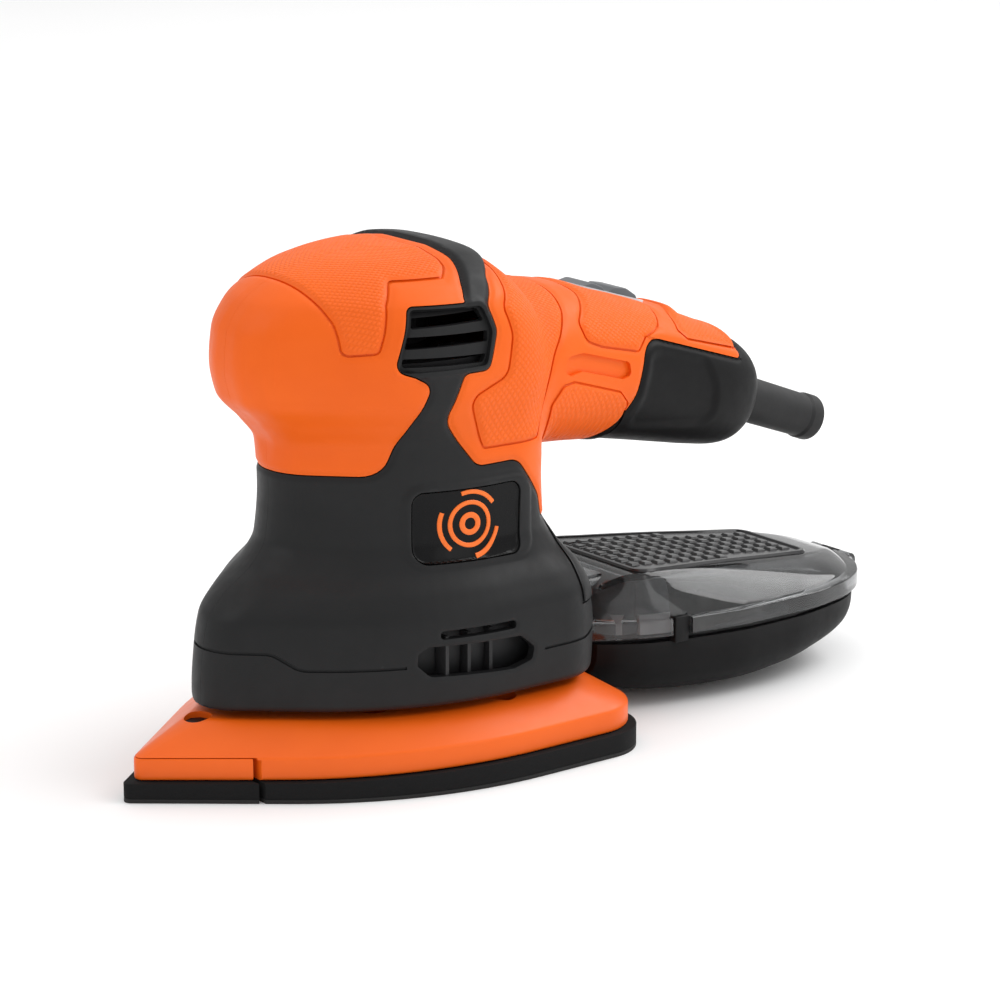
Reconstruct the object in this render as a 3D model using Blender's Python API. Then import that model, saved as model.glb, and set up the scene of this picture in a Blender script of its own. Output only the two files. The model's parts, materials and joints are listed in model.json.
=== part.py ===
import math

import bmesh
import bpy
import numpy as np
from mathutils import Matrix, Vector

# Dimensions are in millimetres. The origin lies on the sanding face, under the motor axis.
# The nose points along -Y, the handle and dust canister along +Y, and Z is up.
MM = 0.001
GAP = 0.3
WALL = 2.6

SHEET_TOP = 1.0
PAD_BOTTOM = 1.3
PAD_TOP = 5.8
PLATEN_BOTTOM = 6.1
PLATEN_BAND_TOP = 12.0
PLATEN_TOP = 18.0
TIP_SEAM_Y = -53.3
TIP_SCREW_Y = -57.5
DUST_HOLES = [(22, -20), (-22, -20), (33, 12), (-33, 12), (14, 42), (-14, 42)]
DUST_HOLE_RADIUS = 4.0
LEG_PLACES = {"platen_leg_front": (0, -43), "platen_leg_right": (25, 28.5), "platen_leg_left": (-25, 28.5)}

ORBIT_OFFSET = 1.0
SHAFT_RADIUS = 3.5
PIN_RADIUS = 3.0
SHAFT_BOTTOM = 24.0
SHAFT_TOP = 112.0
BEARING_RADIUS = 9.5
STACK_RADIUS = 24.0
STACK_BOTTOM = 56.0
STACK_TOP = 88.0
COMMUTATOR_Z = (94.0, 103.0)

HANDLE_LEAN = 0.28
ROCKER_CENTRE = (68.0, 105.2)
ROCKER_SLOPE = math.radians(-17.5)
ROCKER_TILT = math.radians(-5)
CORD_SLOPE = math.radians(-18.4)
CORD_START = (109.0, 77.5)
CLAMP_CENTRE = (90.0, 80.0)

FLANGE_BOTTOM = 20.3
FLANGE_TOP = 25.0
BOWL_TOP = 18.6
CANISTER_WALL = 1.8
PORT_Z = 30.0
HINGE_Y = 155.0
HINGE_Z = 22.3

# Housing sections: height, nose y, nose radius, half width, flank y, flank radius,
# rear corner y, rear corner radius, tail y.
BODY_SECTIONS = [
    (20.3, -62.5, 11, 39, -17, 85, 40, 14, 47.5),
    (21.5, -63.4, 13, 40.5, -17, 85, 40.5, 16, 49),
    (42, -60.5, 14, 41, -17, 85, 39.5, 16, 47.5),
    (48, -56, 15, 38.5, -16, 75, 37, 16, 44.5),
    (54, -48, 16, 35, -13, 60, 34, 16, 40.5),
    (60, -43, 16, 33, -11, 50, 32.5, 16, 37.6),
    (84, -42, 16, 32.3, -10, 50, 32, 16, 36.6),
    (90, -47, 18, 33.5, -12, 50, 31, 16, 35.5),
    (97, -56, 20, 35.3, -14, 50, 31, 16, 35),
    (105, -60.2, 20, 36, -14, 50, 30, 16, 33.5),
    (113, -59.5, 20, 35.5, -14, 50, 28, 16, 31.5),
    (120, -54, 20, 33, -14, 48, 24, 15, 28),
    (125, -44, 18, 28, -13, 40, 20, 14, 24),
    (128.7, -31, 14, 20, -10, 26, 15, 10, 18),
    (130.3, -17, 8, 10, -6, 12, 6, 5, 8),
]
TAIL_RADIUS = 60

# Handle sections: y, half width, top z, bottom z, upper squareness, lower squareness, lean.
HANDLE_SECTIONS = [
    (15, 27, 119, 76, 2.3, 2.3, 0.1),
    (30, 27, 117, 74.5, 2.4, 2.3, 0.1),
    (45, 25, 114.8, 73.8, 2.4, 2.3, 0.2),
    (60, 23.5, 110.8, 72.6, 2.4, 2.3, HANDLE_LEAN),
    (75, 22.5, 105.8, 69.8, 2.4, 2.3, HANDLE_LEAN),
    (90, 21.3, 100, 66.6, 2.4, 2.3, HANDLE_LEAN),
    (100, 20.3, 95.8, 64.5, 2.4, 2.3, HANDLE_LEAN),
    (108, 18.3, 91.3, 64, 2.4, 2.3, HANDLE_LEAN),
    (113, 14.3, 86.8, 66, 2.4, 2.3, HANDLE_LEAN),
    (116, 9, 82.5, 70.5, 2, 2, HANDLE_LEAN),
]

# Canister: y, half width, height, squareness.
COVER_SECTIONS = [
    (57, 15, 34, 3),
    (62, 19, 36, 3),
    (70, 24, 36.6, 3.2),
    (80, 26.8, 35.6, 3.4),
    (100, 29.3, 33.4, 3.4),
    (118, 29, 31.4, 3.4),
    (132, 26.2, 29.9, 3.2),
    (142, 21.2, 28.6, 2.8),
    (148, 14, 27.2, 2.4),
    (151.5, 4, 25.6, 2),
]
BOWL_SECTIONS = [
    (57, 15, 8.5, 3),
    (62, 18.5, 6, 3),
    (70, 22.5, 4.2, 3),
    (85, 27, 2.8, 3),
    (100, 29.3, 2.2, 3),
    (115, 29.3, 3.4, 2.9),
    (128, 27, 6.2, 2.8),
    (138, 23, 9.4, 2.6),
    (145, 17.5, 12.4, 2.4),
    (150, 9, 15.6, 2),
]
FLANGE_PLAN = [
    (51, 15), (55, 18.5), (62, 22.5), (70, 26), (80, 28.8), (100, 31.5), (118, 31.3),
    (132, 28.8), (142, 24), (149, 17), (153.5, 7),
]

# Parting lines in side view (y, z), each with a corner radius.
LOBE_EDGE = [
    (-90, 77.3, 0), (-17.5, 77.3, 6), (-9.5, 101, 3), (-14, 103.6, 2), (-19, 105.5, 3),
    (-14.2, 120.6, 2), (1, 120.2, 1), (4, 124, 3), (9, 127.6, 5), (22.5, 131.5, 3), (24, 145, 0),
]
HANDLE_EDGE = [
    (75, 60.5, 0), (28.5, 60.5, 3), (26.8, 67, 8), (18, 78.2, 5), (5.6, 78.2, 4), (-4.8, 91.5, 6),
    (-0.8, 103.3, 2), (6.2, 103.3, 2), (9, 112.5, 4), (7.6, 119, 3), (12, 125, 4), (29.5, 131.3, 4),
    (31, 145, 0),
]
CAP_EDGE = [
    (54, 45, 0), (57.5, 74, 12), (67, 95, 3), (69.5, 98.9, 3), (105.5, 88.5, 2), (108.5, 110, 0),
]
VENT_SLOTS = [(105.4, 109.2), (110.7, 114.2), (115.7, 119.0)]
SKIRT_SLOT = [
    (-16, 34.6), (-14, 36), (12, 35.4), (16.2, 32), (15.8, 28.6), (10, 27.4), (-13, 28.6), (-16, 31.8),
]
SKIRT_VENT = [(-10.2, 37.7), (10.5, 37.7), (10.5, 39.8), (-10.2, 39.8)]
BADGE_PLAN = [(-12, 55.4, 3), (17.2, 55.0, 3), (18.3, 73, 3), (-11.3, 73, 3)]
BASE_SCREWS = [(31, 52), (-29, 66)]
LOBE_SCREWS = [(-38, 100)]
HANDLE_SCREWS = [(45, 80.2)]

MATERIALS = {
    "orange": ((0.86, 0.17, 0.012), 0.42, 0.0),
    "black": ((0.022, 0.023, 0.025), 0.55, 0.0),
    "rubber": ((0.016, 0.016, 0.017), 0.8, 0.0),
    "foam": ((0.03, 0.03, 0.032), 0.9, 0.0),
    "abrasive": ((0.28, 0.12, 0.06), 0.95, 0.0),
    "smoke": ((0.09, 0.1, 0.11), 0.12, 0.0),
    "grey": ((0.2, 0.21, 0.23), 0.5, 0.0),
    "silver": ((0.75, 0.76, 0.78), 0.3, 0.0),
    "steel": ((0.62, 0.62, 0.64), 0.3, 1.0),
    "lamination": ((0.32, 0.33, 0.35), 0.5, 1.0),
    "copper": ((0.72, 0.32, 0.14), 0.35, 1.0),
    "brass": ((0.72, 0.52, 0.2), 0.35, 1.0),
    "carbon": ((0.05, 0.05, 0.055), 0.6, 0.0),
    "white": ((0.78, 0.78, 0.74), 0.6, 0.0),
    "filter": ((0.8, 0.79, 0.74), 0.9, 0.0),
    "zinc": ((0.5, 0.5, 0.52), 0.4, 1.0),
}


def clear_file():
    for item in list(bpy.data.objects):
        bpy.data.objects.remove(item, do_unlink=True)


def paint(item, kind):
    colour, roughness, metallic = MATERIALS[kind]
    material = bpy.data.materials.new(item.name + "_material")
    material.use_nodes = True
    shader = material.node_tree.nodes["Principled BSDF"]
    shader.inputs["Base Color"].default_value = (*colour, 1.0)
    shader.inputs["Roughness"].default_value = roughness
    shader.inputs["Metallic"].default_value = metallic
    material.diffuse_color = (*colour, 1.0)
    item.data.materials.clear()
    item.data.materials.append(material)
    for face in item.data.polygons:
        face.material_index = 0


def solid(verts, faces, name="shape"):
    mesh = bpy.data.meshes.new(name)
    mesh.from_pydata([tuple(c * MM for c in v) for v in verts], [], faces)
    mesh.update()
    tidy = bmesh.new()
    tidy.from_mesh(mesh)
    bmesh.ops.recalc_face_normals(tidy, faces=tidy.faces)
    tidy.to_mesh(mesh)
    tidy.free()
    item = bpy.data.objects.new(name, mesh)
    bpy.context.scene.collection.objects.link(item)
    return item


def loft(rings):
    rows = len(rings)
    count = len(rings[0])
    verts = [tuple(point) for ring in rings for point in ring]
    faces = []
    for i in range(rows - 1):
        for j in range(count):
            k = (j + 1) % count
            faces.append((i * count + j, i * count + k, (i + 1) * count + k, (i + 1) * count + j))
    faces.append(tuple(range(count))[::-1])
    faces.append(tuple((rows - 1) * count + j for j in range(count)))
    return solid(verts, faces)


def prism(outline, low, high, axis="z"):
    def place(a, b, c):
        return {"z": (a, b, c), "x": (c, a, b), "y": (a, c, b)}[axis]

    rings = [[place(p[0], p[1], level) for p in outline] for level in (low, high)]
    return loft(rings)


def box(low, high):
    outline = [(low[0], low[1]), (high[0], low[1]), (high[0], high[1]), (low[0], high[1])]
    return prism(outline, low[2], high[2])


def circle(radius, count, x=0.0, y=0.0):
    angles = [2 * math.pi * (k + 0.5) / count for k in range(count)]
    return [(x + radius * math.cos(a), y + radius * math.sin(a)) for a in angles]


def cylinder(radius, low, high, x=0.0, y=0.0, count=16, axis="z"):
    return prism(circle(radius, count, x, y), low, high, axis)


def turned(profile, count, x=0.0, y=0.0):
    """Ring of the closed profile (radius, z) around a vertical axis."""
    rings = []
    for k in range(count):
        angle = 2 * math.pi * k / count
        rings.append([(x + r * math.cos(angle), y + r * math.sin(angle), z) for r, z in profile])
    size = len(profile)
    verts = [p for ring in rings for p in ring]
    faces = []
    for k in range(count):
        n = (k + 1) % count
        for j in range(size):
            m = (j + 1) % size
            faces.append((k * size + j, n * size + j, n * size + m, k * size + m))
    return solid(verts, faces)


def bush(inner, outer, low, high, count, x=0.0, y=0.0):
    """Plain ring around a vertical axis."""
    return turned([(inner, low), (outer, low), (outer, high), (inner, high)], count, x, y)


def tube(path, radius, count):
    """Round bar swept along a path of (x, y, z) points."""
    points = [Vector(p) for p in path]
    rings = []
    for i, point in enumerate(points):
        ahead = points[min(i + 1, len(points) - 1)] - points[max(i - 1, 0)]
        ahead.normalize()
        side = ahead.cross(Vector((1, 0, 0)))
        if side.length < 0.2:
            side = ahead.cross(Vector((0, 0, 1)))
        side.normalize()
        over = ahead.cross(side)
        angles = [2 * math.pi * k / count for k in range(count)]
        rings.append([tuple(point + radius * (math.cos(a) * side + math.sin(a) * over)) for a in angles])
    return loft(rings)


def volume_of(mesh):
    """Volume of a closed mesh, or None where it has open or doubled edges."""
    probe = bmesh.new()
    probe.from_mesh(mesh)
    closed = all(len(edge.link_faces) == 2 for edge in probe.edges)
    volume = probe.calc_volume(signed=True)
    probe.free()
    return volume if closed else None


def plausible(volume, mine, other, operation):
    if volume is None or volume <= 0:
        return False
    slack = 1e-9
    if operation == "UNION":
        return max(mine, other) - slack < volume < mine + other + slack
    if operation == "DIFFERENCE":
        return mine - other - slack < volume < mine + slack
    return volume < min(mine, other) + slack


def combine(item, other, operation):
    """Boolean with the exact solver, or the manifold solver where the exact one leaves an open mesh."""
    mine, theirs = volume_of(item.data), volume_of(other.data)
    for solver in ("EXACT", "MANIFOLD"):
        step = item.modifiers.new("step", "BOOLEAN")
        step.operation = operation
        step.object = other
        step.solver = solver
        graph = bpy.context.evaluated_depsgraph_get()
        mesh = bpy.data.meshes.new_from_object(item.evaluated_get(graph))
        item.modifiers.clear()
        if plausible(volume_of(mesh), mine, theirs, operation):
            break
    item.data = mesh
    bpy.data.objects.remove(other, do_unlink=True)
    return item


def cut(item, *others):
    for other in others:
        combine(item, other, "DIFFERENCE")
    return item


def union(item, *others):
    for other in others:
        combine(item, other, "UNION")
    return item


def common(item, other):
    return combine(item, other, "INTERSECT")


def copy(item):
    twin = bpy.data.objects.new(item.name + "_copy", item.data.copy())
    bpy.context.scene.collection.objects.link(twin)
    return twin


def mirrored(item):
    twin = copy(item)
    twin.data.transform(Matrix.Diagonal((-1, 1, 1, 1)))
    twin.data.flip_normals()
    return twin


def weld(item):
    fine = bmesh.new()
    fine.from_mesh(item.data)
    bmesh.ops.remove_doubles(fine, verts=fine.verts, dist=0.000002)
    fine.to_mesh(item.data)
    fine.free()


def finish(item, name, kind, smooth=30, pivot=None):
    weld(item)
    item.name = name
    item.data.name = name
    paint(item, kind)
    if smooth:
        for face in item.data.polygons:
            face.use_smooth = True
        item.data.set_sharp_from_angle(angle=math.radians(smooth))
    if pivot is not None:
        shift = Vector(pivot) * MM
        item.data.transform(Matrix.Translation(-shift))
        item.location = shift
    return item


def swing(item, angle, centre):
    """Tilt about the X direction through centre (y, z)."""
    move = Matrix.Translation(Vector((0, centre[0], centre[1])) * MM)
    item.data.transform(move @ Matrix.Rotation(angle, 4, "X") @ move.inverted())
    return item


def blend(table, value):
    """Shape-preserving cubic through the rows of a section table."""
    rows = np.array(table, float)
    x = rows[:, 0]
    y = rows[:, 1:]
    gaps = np.diff(x)
    rise = np.diff(y, axis=0) / gaps[:, None]
    slope = np.zeros_like(y)
    slope[0] = rise[0]
    slope[-1] = rise[-1]
    for i in range(1, len(x) - 1):
        same = rise[i - 1] * rise[i] > 0
        before = np.where(same, rise[i - 1], 1.0)
        after = np.where(same, rise[i], 1.0)
        slope[i] = np.where(same, 2 / (1 / before + 1 / after), 0.0)
    i = int(min(max(np.searchsorted(x, value) - 1, 0), len(x) - 2))
    h = gaps[i]
    t = (value - x[i]) / h
    start = (1 + 2 * t) * (1 - t) ** 2 * y[i] + t * (1 - t) ** 2 * h * slope[i]
    end = t * t * (3 - 2 * t) * y[i + 1] + t * t * (t - 1) * h * slope[i + 1]
    return start + end


def rounded(corners, segments=4):
    """Closed outline with filleted corners (a, b, radius)."""
    outline = []
    count = len(corners)
    for i in range(count):
        before = Vector(corners[i - 1][:2])
        here = Vector(corners[i][:2])
        after = Vector(corners[(i + 1) % count][:2])
        outline += fillet(before, here, after, corners[i][2], segments)
    return outline


def fillet(before, here, after, radius, segments):
    one = (before - here).normalized()
    two = (after - here).normalized()
    angle = one.angle(two)
    if radius <= 0 or math.pi - angle < 0.02:
        return [tuple(here)]
    reach = radius / math.tan(angle / 2)
    centre = here + (one + two).normalized() * (radius / math.sin(angle / 2))
    start = here + one * reach - centre
    end = here + two * reach - centre
    first = math.atan2(start.y, start.x)
    turn = (math.atan2(end.y, end.x) - first + math.pi) % (2 * math.pi) - math.pi
    points = []
    for k in range(segments + 1):
        a = first + turn * k / segments
        points.append((centre.x + radius * math.cos(a), centre.y + radius * math.sin(a)))
    return points


def open_rounded(line, segments=1):
    points = [tuple(line[0][:2])]
    for i in range(1, len(line) - 1):
        before, here, after = (Vector(line[k][:2]) for k in (i - 1, i, i + 1))
        points += fillet(before, here, after, line[i][2], segments)
    points.append(tuple(line[-1][:2]))
    return points


def shifted(line, distance):
    """Move an open line sideways; positive is to the left of its direction."""
    points = [Vector(p) for p in line]
    moved = []
    for i, point in enumerate(points):
        normals = []
        for a, b in ((i - 1, i), (i, i + 1)):
            if a >= 0 and b < len(points):
                run = (points[b] - points[a]).normalized()
                normals.append(Vector((-run.y, run.x)))
        mean = sum(normals, Vector((0, 0))).normalized()
        moved.append(tuple(point + mean * distance / max(0.5, mean.dot(normals[0]))))
    return moved


def drop_outline(nose, nose_radius, half, flank, flank_radius, rear, rear_radius, tail, segments=4):
    right = [
        (0, nose, nose_radius),
        (half, flank, flank_radius),
        (half, rear, rear_radius),
        (0, tail, TAIL_RADIUS),
    ]
    left = [(-x, y, r) for x, y, r in right[:0:-1] if x > 0]
    return rounded(right + left, segments)


def around(outline, count):
    """Points of an outline at equal angles about the motor axis, starting at the nose."""
    ends = outline[1:] + outline[:1]
    points = []
    for k in range(count):
        angle = 2 * math.pi * k / count
        ux, uy = math.sin(angle), -math.cos(angle)
        reach = 0.0
        for (px, py), (qx, qy) in zip(outline, ends):
            ex, ey = qx - px, qy - py
            den = ux * ey - uy * ex
            if abs(den) < 1e-9:
                continue
            along = (px * ey - py * ex) / den
            across = (px * uy - py * ux) / den
            if along > reach and -1e-9 <= across <= 1 + 1e-9:
                reach = along
        points.append((ux * reach, uy * reach))
    return points


def inset_rings(rings, depth):
    """Move every point of a ring grid along its surface normal."""
    grid = np.array(rings, float)
    along = np.gradient(grid, axis=0)
    round_about = np.roll(grid, -1, axis=1) - np.roll(grid, 1, axis=1)
    normal = np.cross(round_about, along)
    normal /= np.maximum(np.linalg.norm(normal, axis=2, keepdims=True), 1e-9)
    centre = grid.mean(axis=1, keepdims=True)
    outward = np.sign(((grid - centre) * normal).sum(axis=(1, 2)))
    return grid - depth * normal * outward[:, None, None]


def body_rings(depth=0.0, count=20):
    rings = []
    for row in BODY_SECTIONS:
        outline = drop_outline(*row[1:], segments=8)
        rings.append([(x, y, row[0]) for x, y in around(outline, count)])
    return inset_rings(rings, depth) if depth else np.array(rings)


def squared(value, power):
    return math.copysign(abs(value) ** power, value)


def handle_rings(depth=0.0, count=16):
    rings = []
    for y, half, top, bottom, upper, lower, lean in HANDLE_SECTIONS:
        middle = (top + bottom) / 2
        ring = []
        for k in range(count):
            angle = 2 * math.pi * k / count
            power = 2 / (upper if math.sin(angle) > 0 else lower)
            x = half * squared(math.cos(angle), power)
            rise = (top - bottom) / 2 * squared(math.sin(angle), power)
            ring.append((x, y + lean * rise, middle + rise))
        rings.append(ring)
    return inset_rings(rings, depth) if depth else np.array(rings)


def housing_solid(depth, foot=None):
    body = body_rings(depth)
    if foot is not None:
        body[0][:, 2] = foot
    return union(loft(body), loft(handle_rings(depth)))


def right_side(item):
    return common(item, box((GAP / 2, -100, 0), (60, 180, 160)))


def side_region(corners):
    return prism(corners, -60, 60, "x")


def lobe_region():
    line = shifted(open_rounded(LOBE_EDGE), GAP / 2)
    return side_region(line + [(-90, 145)])


def base_region():
    front = shifted(open_rounded(LOBE_EDGE), -GAP / 2)
    rear = shifted(open_rounded(HANDLE_EDGE), GAP / 2)
    return side_region(front + rear[::-1] + [(75, 0), (-90, 0)])


def handle_region():
    line = shifted(open_rounded(HANDLE_EDGE), -GAP / 2)
    cap = shifted(open_rounded(CAP_EDGE), GAP / 2)
    upper = [p for p in cap if p[1] > 60.5]
    return side_region(line + [(108.2, 145)] + upper[::-1] + [(55.7, 60.35)])


def cap_region():
    line = shifted(open_rounded(CAP_EDGE), -GAP / 2)
    return side_region(line + [(140, 110), (140, 45)])


def bosses(places, radius=3.8):
    items = [cylinder(radius, -45, 45, y, z, 8, "x") for y, z in places]
    return union(*items)


def motor_ribs():
    outline = circle(46.3, 20)
    ribs = union(prism(outline, 62.3, 64.6), prism(outline, 72.1, 74.4))
    cut(ribs, cylinder(STACK_RADIUS + 2 * GAP, 50, 90, count=24))
    return common(ribs, loft(body_rings(WALL / 2)))


def bored(shell, places, left):
    for y, z in places:
        if left:
            cut(shell, cylinder(1.9, -9.3, 1, y, z, 6, "x"))
            cut(shell, cylinder(3.05, -57.3, -8.05, y, z, 10, "x"))
        else:
            cut(shell, cylinder(1.8, -1, 11, y, z, 6, "x"))
    return shell


def build_housing():
    shell = cut(housing_solid(0.0), housing_solid(WALL, foot=10.0))
    posts = common(bosses(BASE_SCREWS + LOBE_SCREWS + HANDLE_SCREWS), housing_solid(WALL / 2))
    shell = right_side(union(shell, posts, motor_ribs()))
    base = cut(common(copy(shell), base_region()), *base_openings())
    lobe = common(copy(shell), lobe_region())
    handle = cut(common(shell, handle_region()), rocker_opening())
    for item, name, places, kind in (
        (base, "base_shell", BASE_SCREWS, "black"),
        (lobe, "lobe_cover", LOBE_SCREWS, "orange"),
        (handle, "handle_shell", HANDLE_SCREWS, "orange"),
    ):
        left = bored(mirrored(item), places, True)
        finish(bored(item, places, False), name + "_right", kind)
        finish(left, name + "_left", kind)


def base_openings():
    items = [box((24, -16.2, low), (50, 5.6, high)) for low, high in VENT_SLOTS]
    items.append(prism(SKIRT_SLOT, 28, 60, "x"))
    items.append(prism(SKIRT_VENT, 28, 60, "x"))
    items.append(box((-1, 40, PORT_Z - 8.3), (14.3, 60, PORT_Z + 8.3)))
    items.append(badge_pocket())
    return items


def badge_pocket():
    outline = shifted_outline(rounded(BADGE_PLAN, 2), GAP)
    return cut(prism(outline, 20, 60, "x"), loft(body_rings(1.4)))


def shifted_outline(outline, distance):
    centre = np.mean(np.array(outline), axis=0)
    moved = []
    for point in outline:
        away = np.array(point) - centre
        moved.append(tuple(np.array(point) + away / np.linalg.norm(away) * distance * 1.3))
    return moved


def build_badges():
    plate = common(prism(rounded(BADGE_PLAN, 2), 20, 60, "x"), loft(body_rings(-0.3)))
    cut(plate, loft(body_rings(1.1)))
    finish(mirrored(plate), "badge_plate_left", "black")
    finish(plate, "badge_plate_right", "black")


def rocker_frame_outline(grow=0.0):
    return rounded([(-7.5 - grow, -12.5 - grow, 4), (7.5 + grow, -12.5 - grow, 4),
                    (7.5 + grow, 12.5 + grow, 4), (-7.5 - grow, 12.5 + grow, 4)], 3)


def on_handle(item):
    """Move a shape built flat at the origin onto the sloping top of the handle."""
    y, z = ROCKER_CENTRE
    move = Matrix.Translation(Vector((0, y, z)) * MM)
    item.data.transform(move @ Matrix.Rotation(ROCKER_SLOPE, 4, "X"))
    return item


def rocker_opening():
    return on_handle(prism(rocker_frame_outline(GAP), -9, 12))


def build_switch():
    frame = prism(rocker_frame_outline(), -5.0, 4.2)
    hole = rounded([(-5.6, -10.6, 1), (5.6, -10.6, 1), (5.6, 10.6, 1), (-5.6, 10.6, 1)], 2)
    cut(frame, prism(hole, -6, 8))
    finish(on_handle(frame), "switch_bezel", "silver")

    profile = [
        (-10.0, 0.4), (-9.2, 4.4), (-6.5, 6.3), (-3.2, 6.2), (0, 4.6), (3.2, 6.2), (6.5, 6.3), (9.2, 4.4),
        (10.0, 0.4), (0, -2.2),
    ]
    rocker = prism(profile, -5.2, 5.2, "x")
    swing(on_handle(rocker), ROCKER_TILT, ROCKER_CENTRE)
    finish(rocker, "switch_rocker", "grey", pivot=(0, *ROCKER_CENTRE))

    module = box((-7.2, -11.5, -21), (7.2, 11.5, -5.3))
    cut(module, box((-5.6, -9.8, -8.6), (5.6, 9.8, -5)))
    for y in (-6, 0, 6):
        union(module, box((-3, y - 0.5, -25), (3, y + 0.5, -20)))
    finish(on_handle(module), "switch_module", "black")


def build_end_cap():
    outer = loft(handle_rings())
    inner = loft(handle_rings(2.4))
    cap = common(cut(outer, inner), cap_region())
    run = (math.cos(CORD_SLOPE), math.sin(CORD_SLOPE))
    hole = tube([(0, CORD_START[0] - 12 * run[0], CORD_START[1] - 12 * run[1]),
                 (0, CORD_START[0] + 16 * run[0], CORD_START[1] + 16 * run[1])], 6.3, 16)
    union(cap, cord_cradle())
    finish(cut(cap, hole), "handle_end_cap", "black")


def build_strain_relief():
    stations = [(-6, 8.0), (-2.2, 8.0), (-2.2, 6.0), (14, 5.9), (34, 5.2), (36.5, 5.9), (38.5, 5.9),
                (38.5, 3.6), (-6, 3.6)]
    sleeve = turned([(r, d) for d, r in stations], 16)
    turn = Matrix.Rotation(-(math.pi / 2 - CORD_SLOPE), 4, "X")
    start = Vector((0, *CORD_START)) * MM
    sleeve.data.transform(Matrix.Translation(start) @ turn)
    finish(sleeve, "cord_strain_relief", "rubber")


def build_cord_clamp():
    y, z = CLAMP_CENTRE
    bar = box((-8.5, y - 3.5, z + 2.4), (9, y + 3.5, z + 5.8))
    cut(bar, cylinder(1.6, z - 10, z + 10, 6.4, y, 8))
    finish(bar, "cord_clamp", "black")
    foot, seat, top = z - 3.4, z + 6.1, z + 7.8
    profile = [(0.02, foot), (1.3, foot), (1.3, seat), (2.7, seat), (2.7, top), (0.02, top)]
    finish(turned(profile, 8, 6.4, y), "cord_clamp_screw", "zinc")


def cord_cradle():
    """Saddle under the cord, on a web up from the end cap's floor."""
    y, z = CLAMP_CENTRE
    saddle = box((-9, y - 3.5, z - 6.2), (9, y + 3.5, z + 2.1))
    web = box((-7, y - 2.5, z - 12.4), (7, y + 2.5, z - 5))
    cradle = union(saddle, web)
    cut(cradle, cylinder(3.4, y - 9, y + 9, 0, z + 2.1, 12, "y"))
    return cut(cradle, cylinder(1.6, z - 4, z + 10, 6.4, y, 8))


def screw_along_x(y, z, head, length):
    item = turned([(0.02, 0), (2.6, 0), (2.6, 1.8), (1.25, 2.0), (1.25, length), (0.02, length)], 8)
    move = Matrix.Translation(Vector((head, y, z)) * MM)
    item.data.transform(move @ Matrix.Rotation(math.pi / 2, 4, "Y"))
    return item


def build_clamshell_screws():
    places = BASE_SCREWS + LOBE_SCREWS + HANDLE_SCREWS
    for number, (y, z) in enumerate(places, 1):
        finish(screw_along_x(y, z, -10.4, 20), "clamshell_screw_%d" % number, "zinc")


def pad_outline(inset=0.0, segments=4):
    nose_radius = max(1.5, 2 + inset * 0.2)
    rear = 49.5 - inset * 0.6
    nose, half = -80 + 1.6 * inset, 47.5 - inset
    return drop_outline(nose, nose_radius, half, -21, 120, rear, 14, 57 - inset, segments)


def before_seam(item):
    return common(item, box((-60, -100, -5), (60, TIP_SEAM_Y - GAP / 2, 60)))


def behind_seam(item):
    return common(item, box((-60, TIP_SEAM_Y + GAP / 2, -5), (60, 80, 60)))


def with_dust_holes(item, radius=DUST_HOLE_RADIUS):
    for x, y in DUST_HOLES:
        cut(item, cylinder(radius, -2, 40, x, y, 8))
    return item


def build_pads():
    sheet = with_dust_holes(prism(pad_outline(0.2), 0.0, SHEET_TOP))
    finish(before_seam(copy(sheet)), "tip_sheet", "abrasive", smooth=0)
    finish(behind_seam(sheet), "sanding_sheet", "abrasive", smooth=0)
    pad = with_dust_holes(prism(pad_outline(), PAD_BOTTOM, PAD_TOP))
    finish(before_seam(copy(pad)), "tip_pad", "foam")
    finish(behind_seam(pad), "platen_pad", "foam")


def platen_blank():
    wide = pad_outline(1.6)
    narrow = drop_outline(-62, 5, 36.5, -17, 100, 38, 12, 46, segments=4)
    levels = ((wide, PLATEN_BOTTOM), (wide, PLATEN_BAND_TOP), (narrow, PLATEN_TOP))
    return loft([[(x, y, z) for x, y in outline] for outline, z in levels])


def build_platen():
    blank = platen_blank()
    tip = before_seam(copy(blank))
    common(tip, box((-60, -100, 0), (60, 0, PLATEN_BAND_TOP - GAP)))
    cut(tip, cylinder(1.6, 0, 40, 0, TIP_SCREW_Y, 10))
    finish(tip, "detail_tip", "orange")

    cut(blank, box((-60, -100, 0), (60, TIP_SEAM_Y + GAP / 2, PLATEN_BAND_TOP)))
    boss = bush(9.8, 13.0, 10, 21.6, 16, 0, ORBIT_OFFSET)
    cut(blank, cylinder(11.0, 13.2, 30, 0, ORBIT_OFFSET, 16))
    cut(blank, cylinder(6.4, 0, 30, 0, ORBIT_OFFSET, 16))
    union(blank, boss)
    for x, y in LEG_PLACES.values():
        cut(blank, cylinder(4.0, 14.0, 30, x, y, 10))
    with_dust_holes(blank)
    cut(blank, cylinder(1.6, 0, 40, 0, TIP_SCREW_Y, 10))
    cut(blank, cylinder(3.5, 14.8, 40, 0, TIP_SCREW_Y, 10))
    finish(blank, "platen", "orange", pivot=(0, ORBIT_OFFSET, PLATEN_BOTTOM))

    profile = [(0.02, 7.0), (1.2, 7.0), (1.2, 15.1), (3.0, 15.1), (3.0, 16.6), (0.02, 16.6)]
    screw = turned(profile, 8, 0, TIP_SCREW_Y)
    finish(screw, "tip_screw", "zinc")


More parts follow.
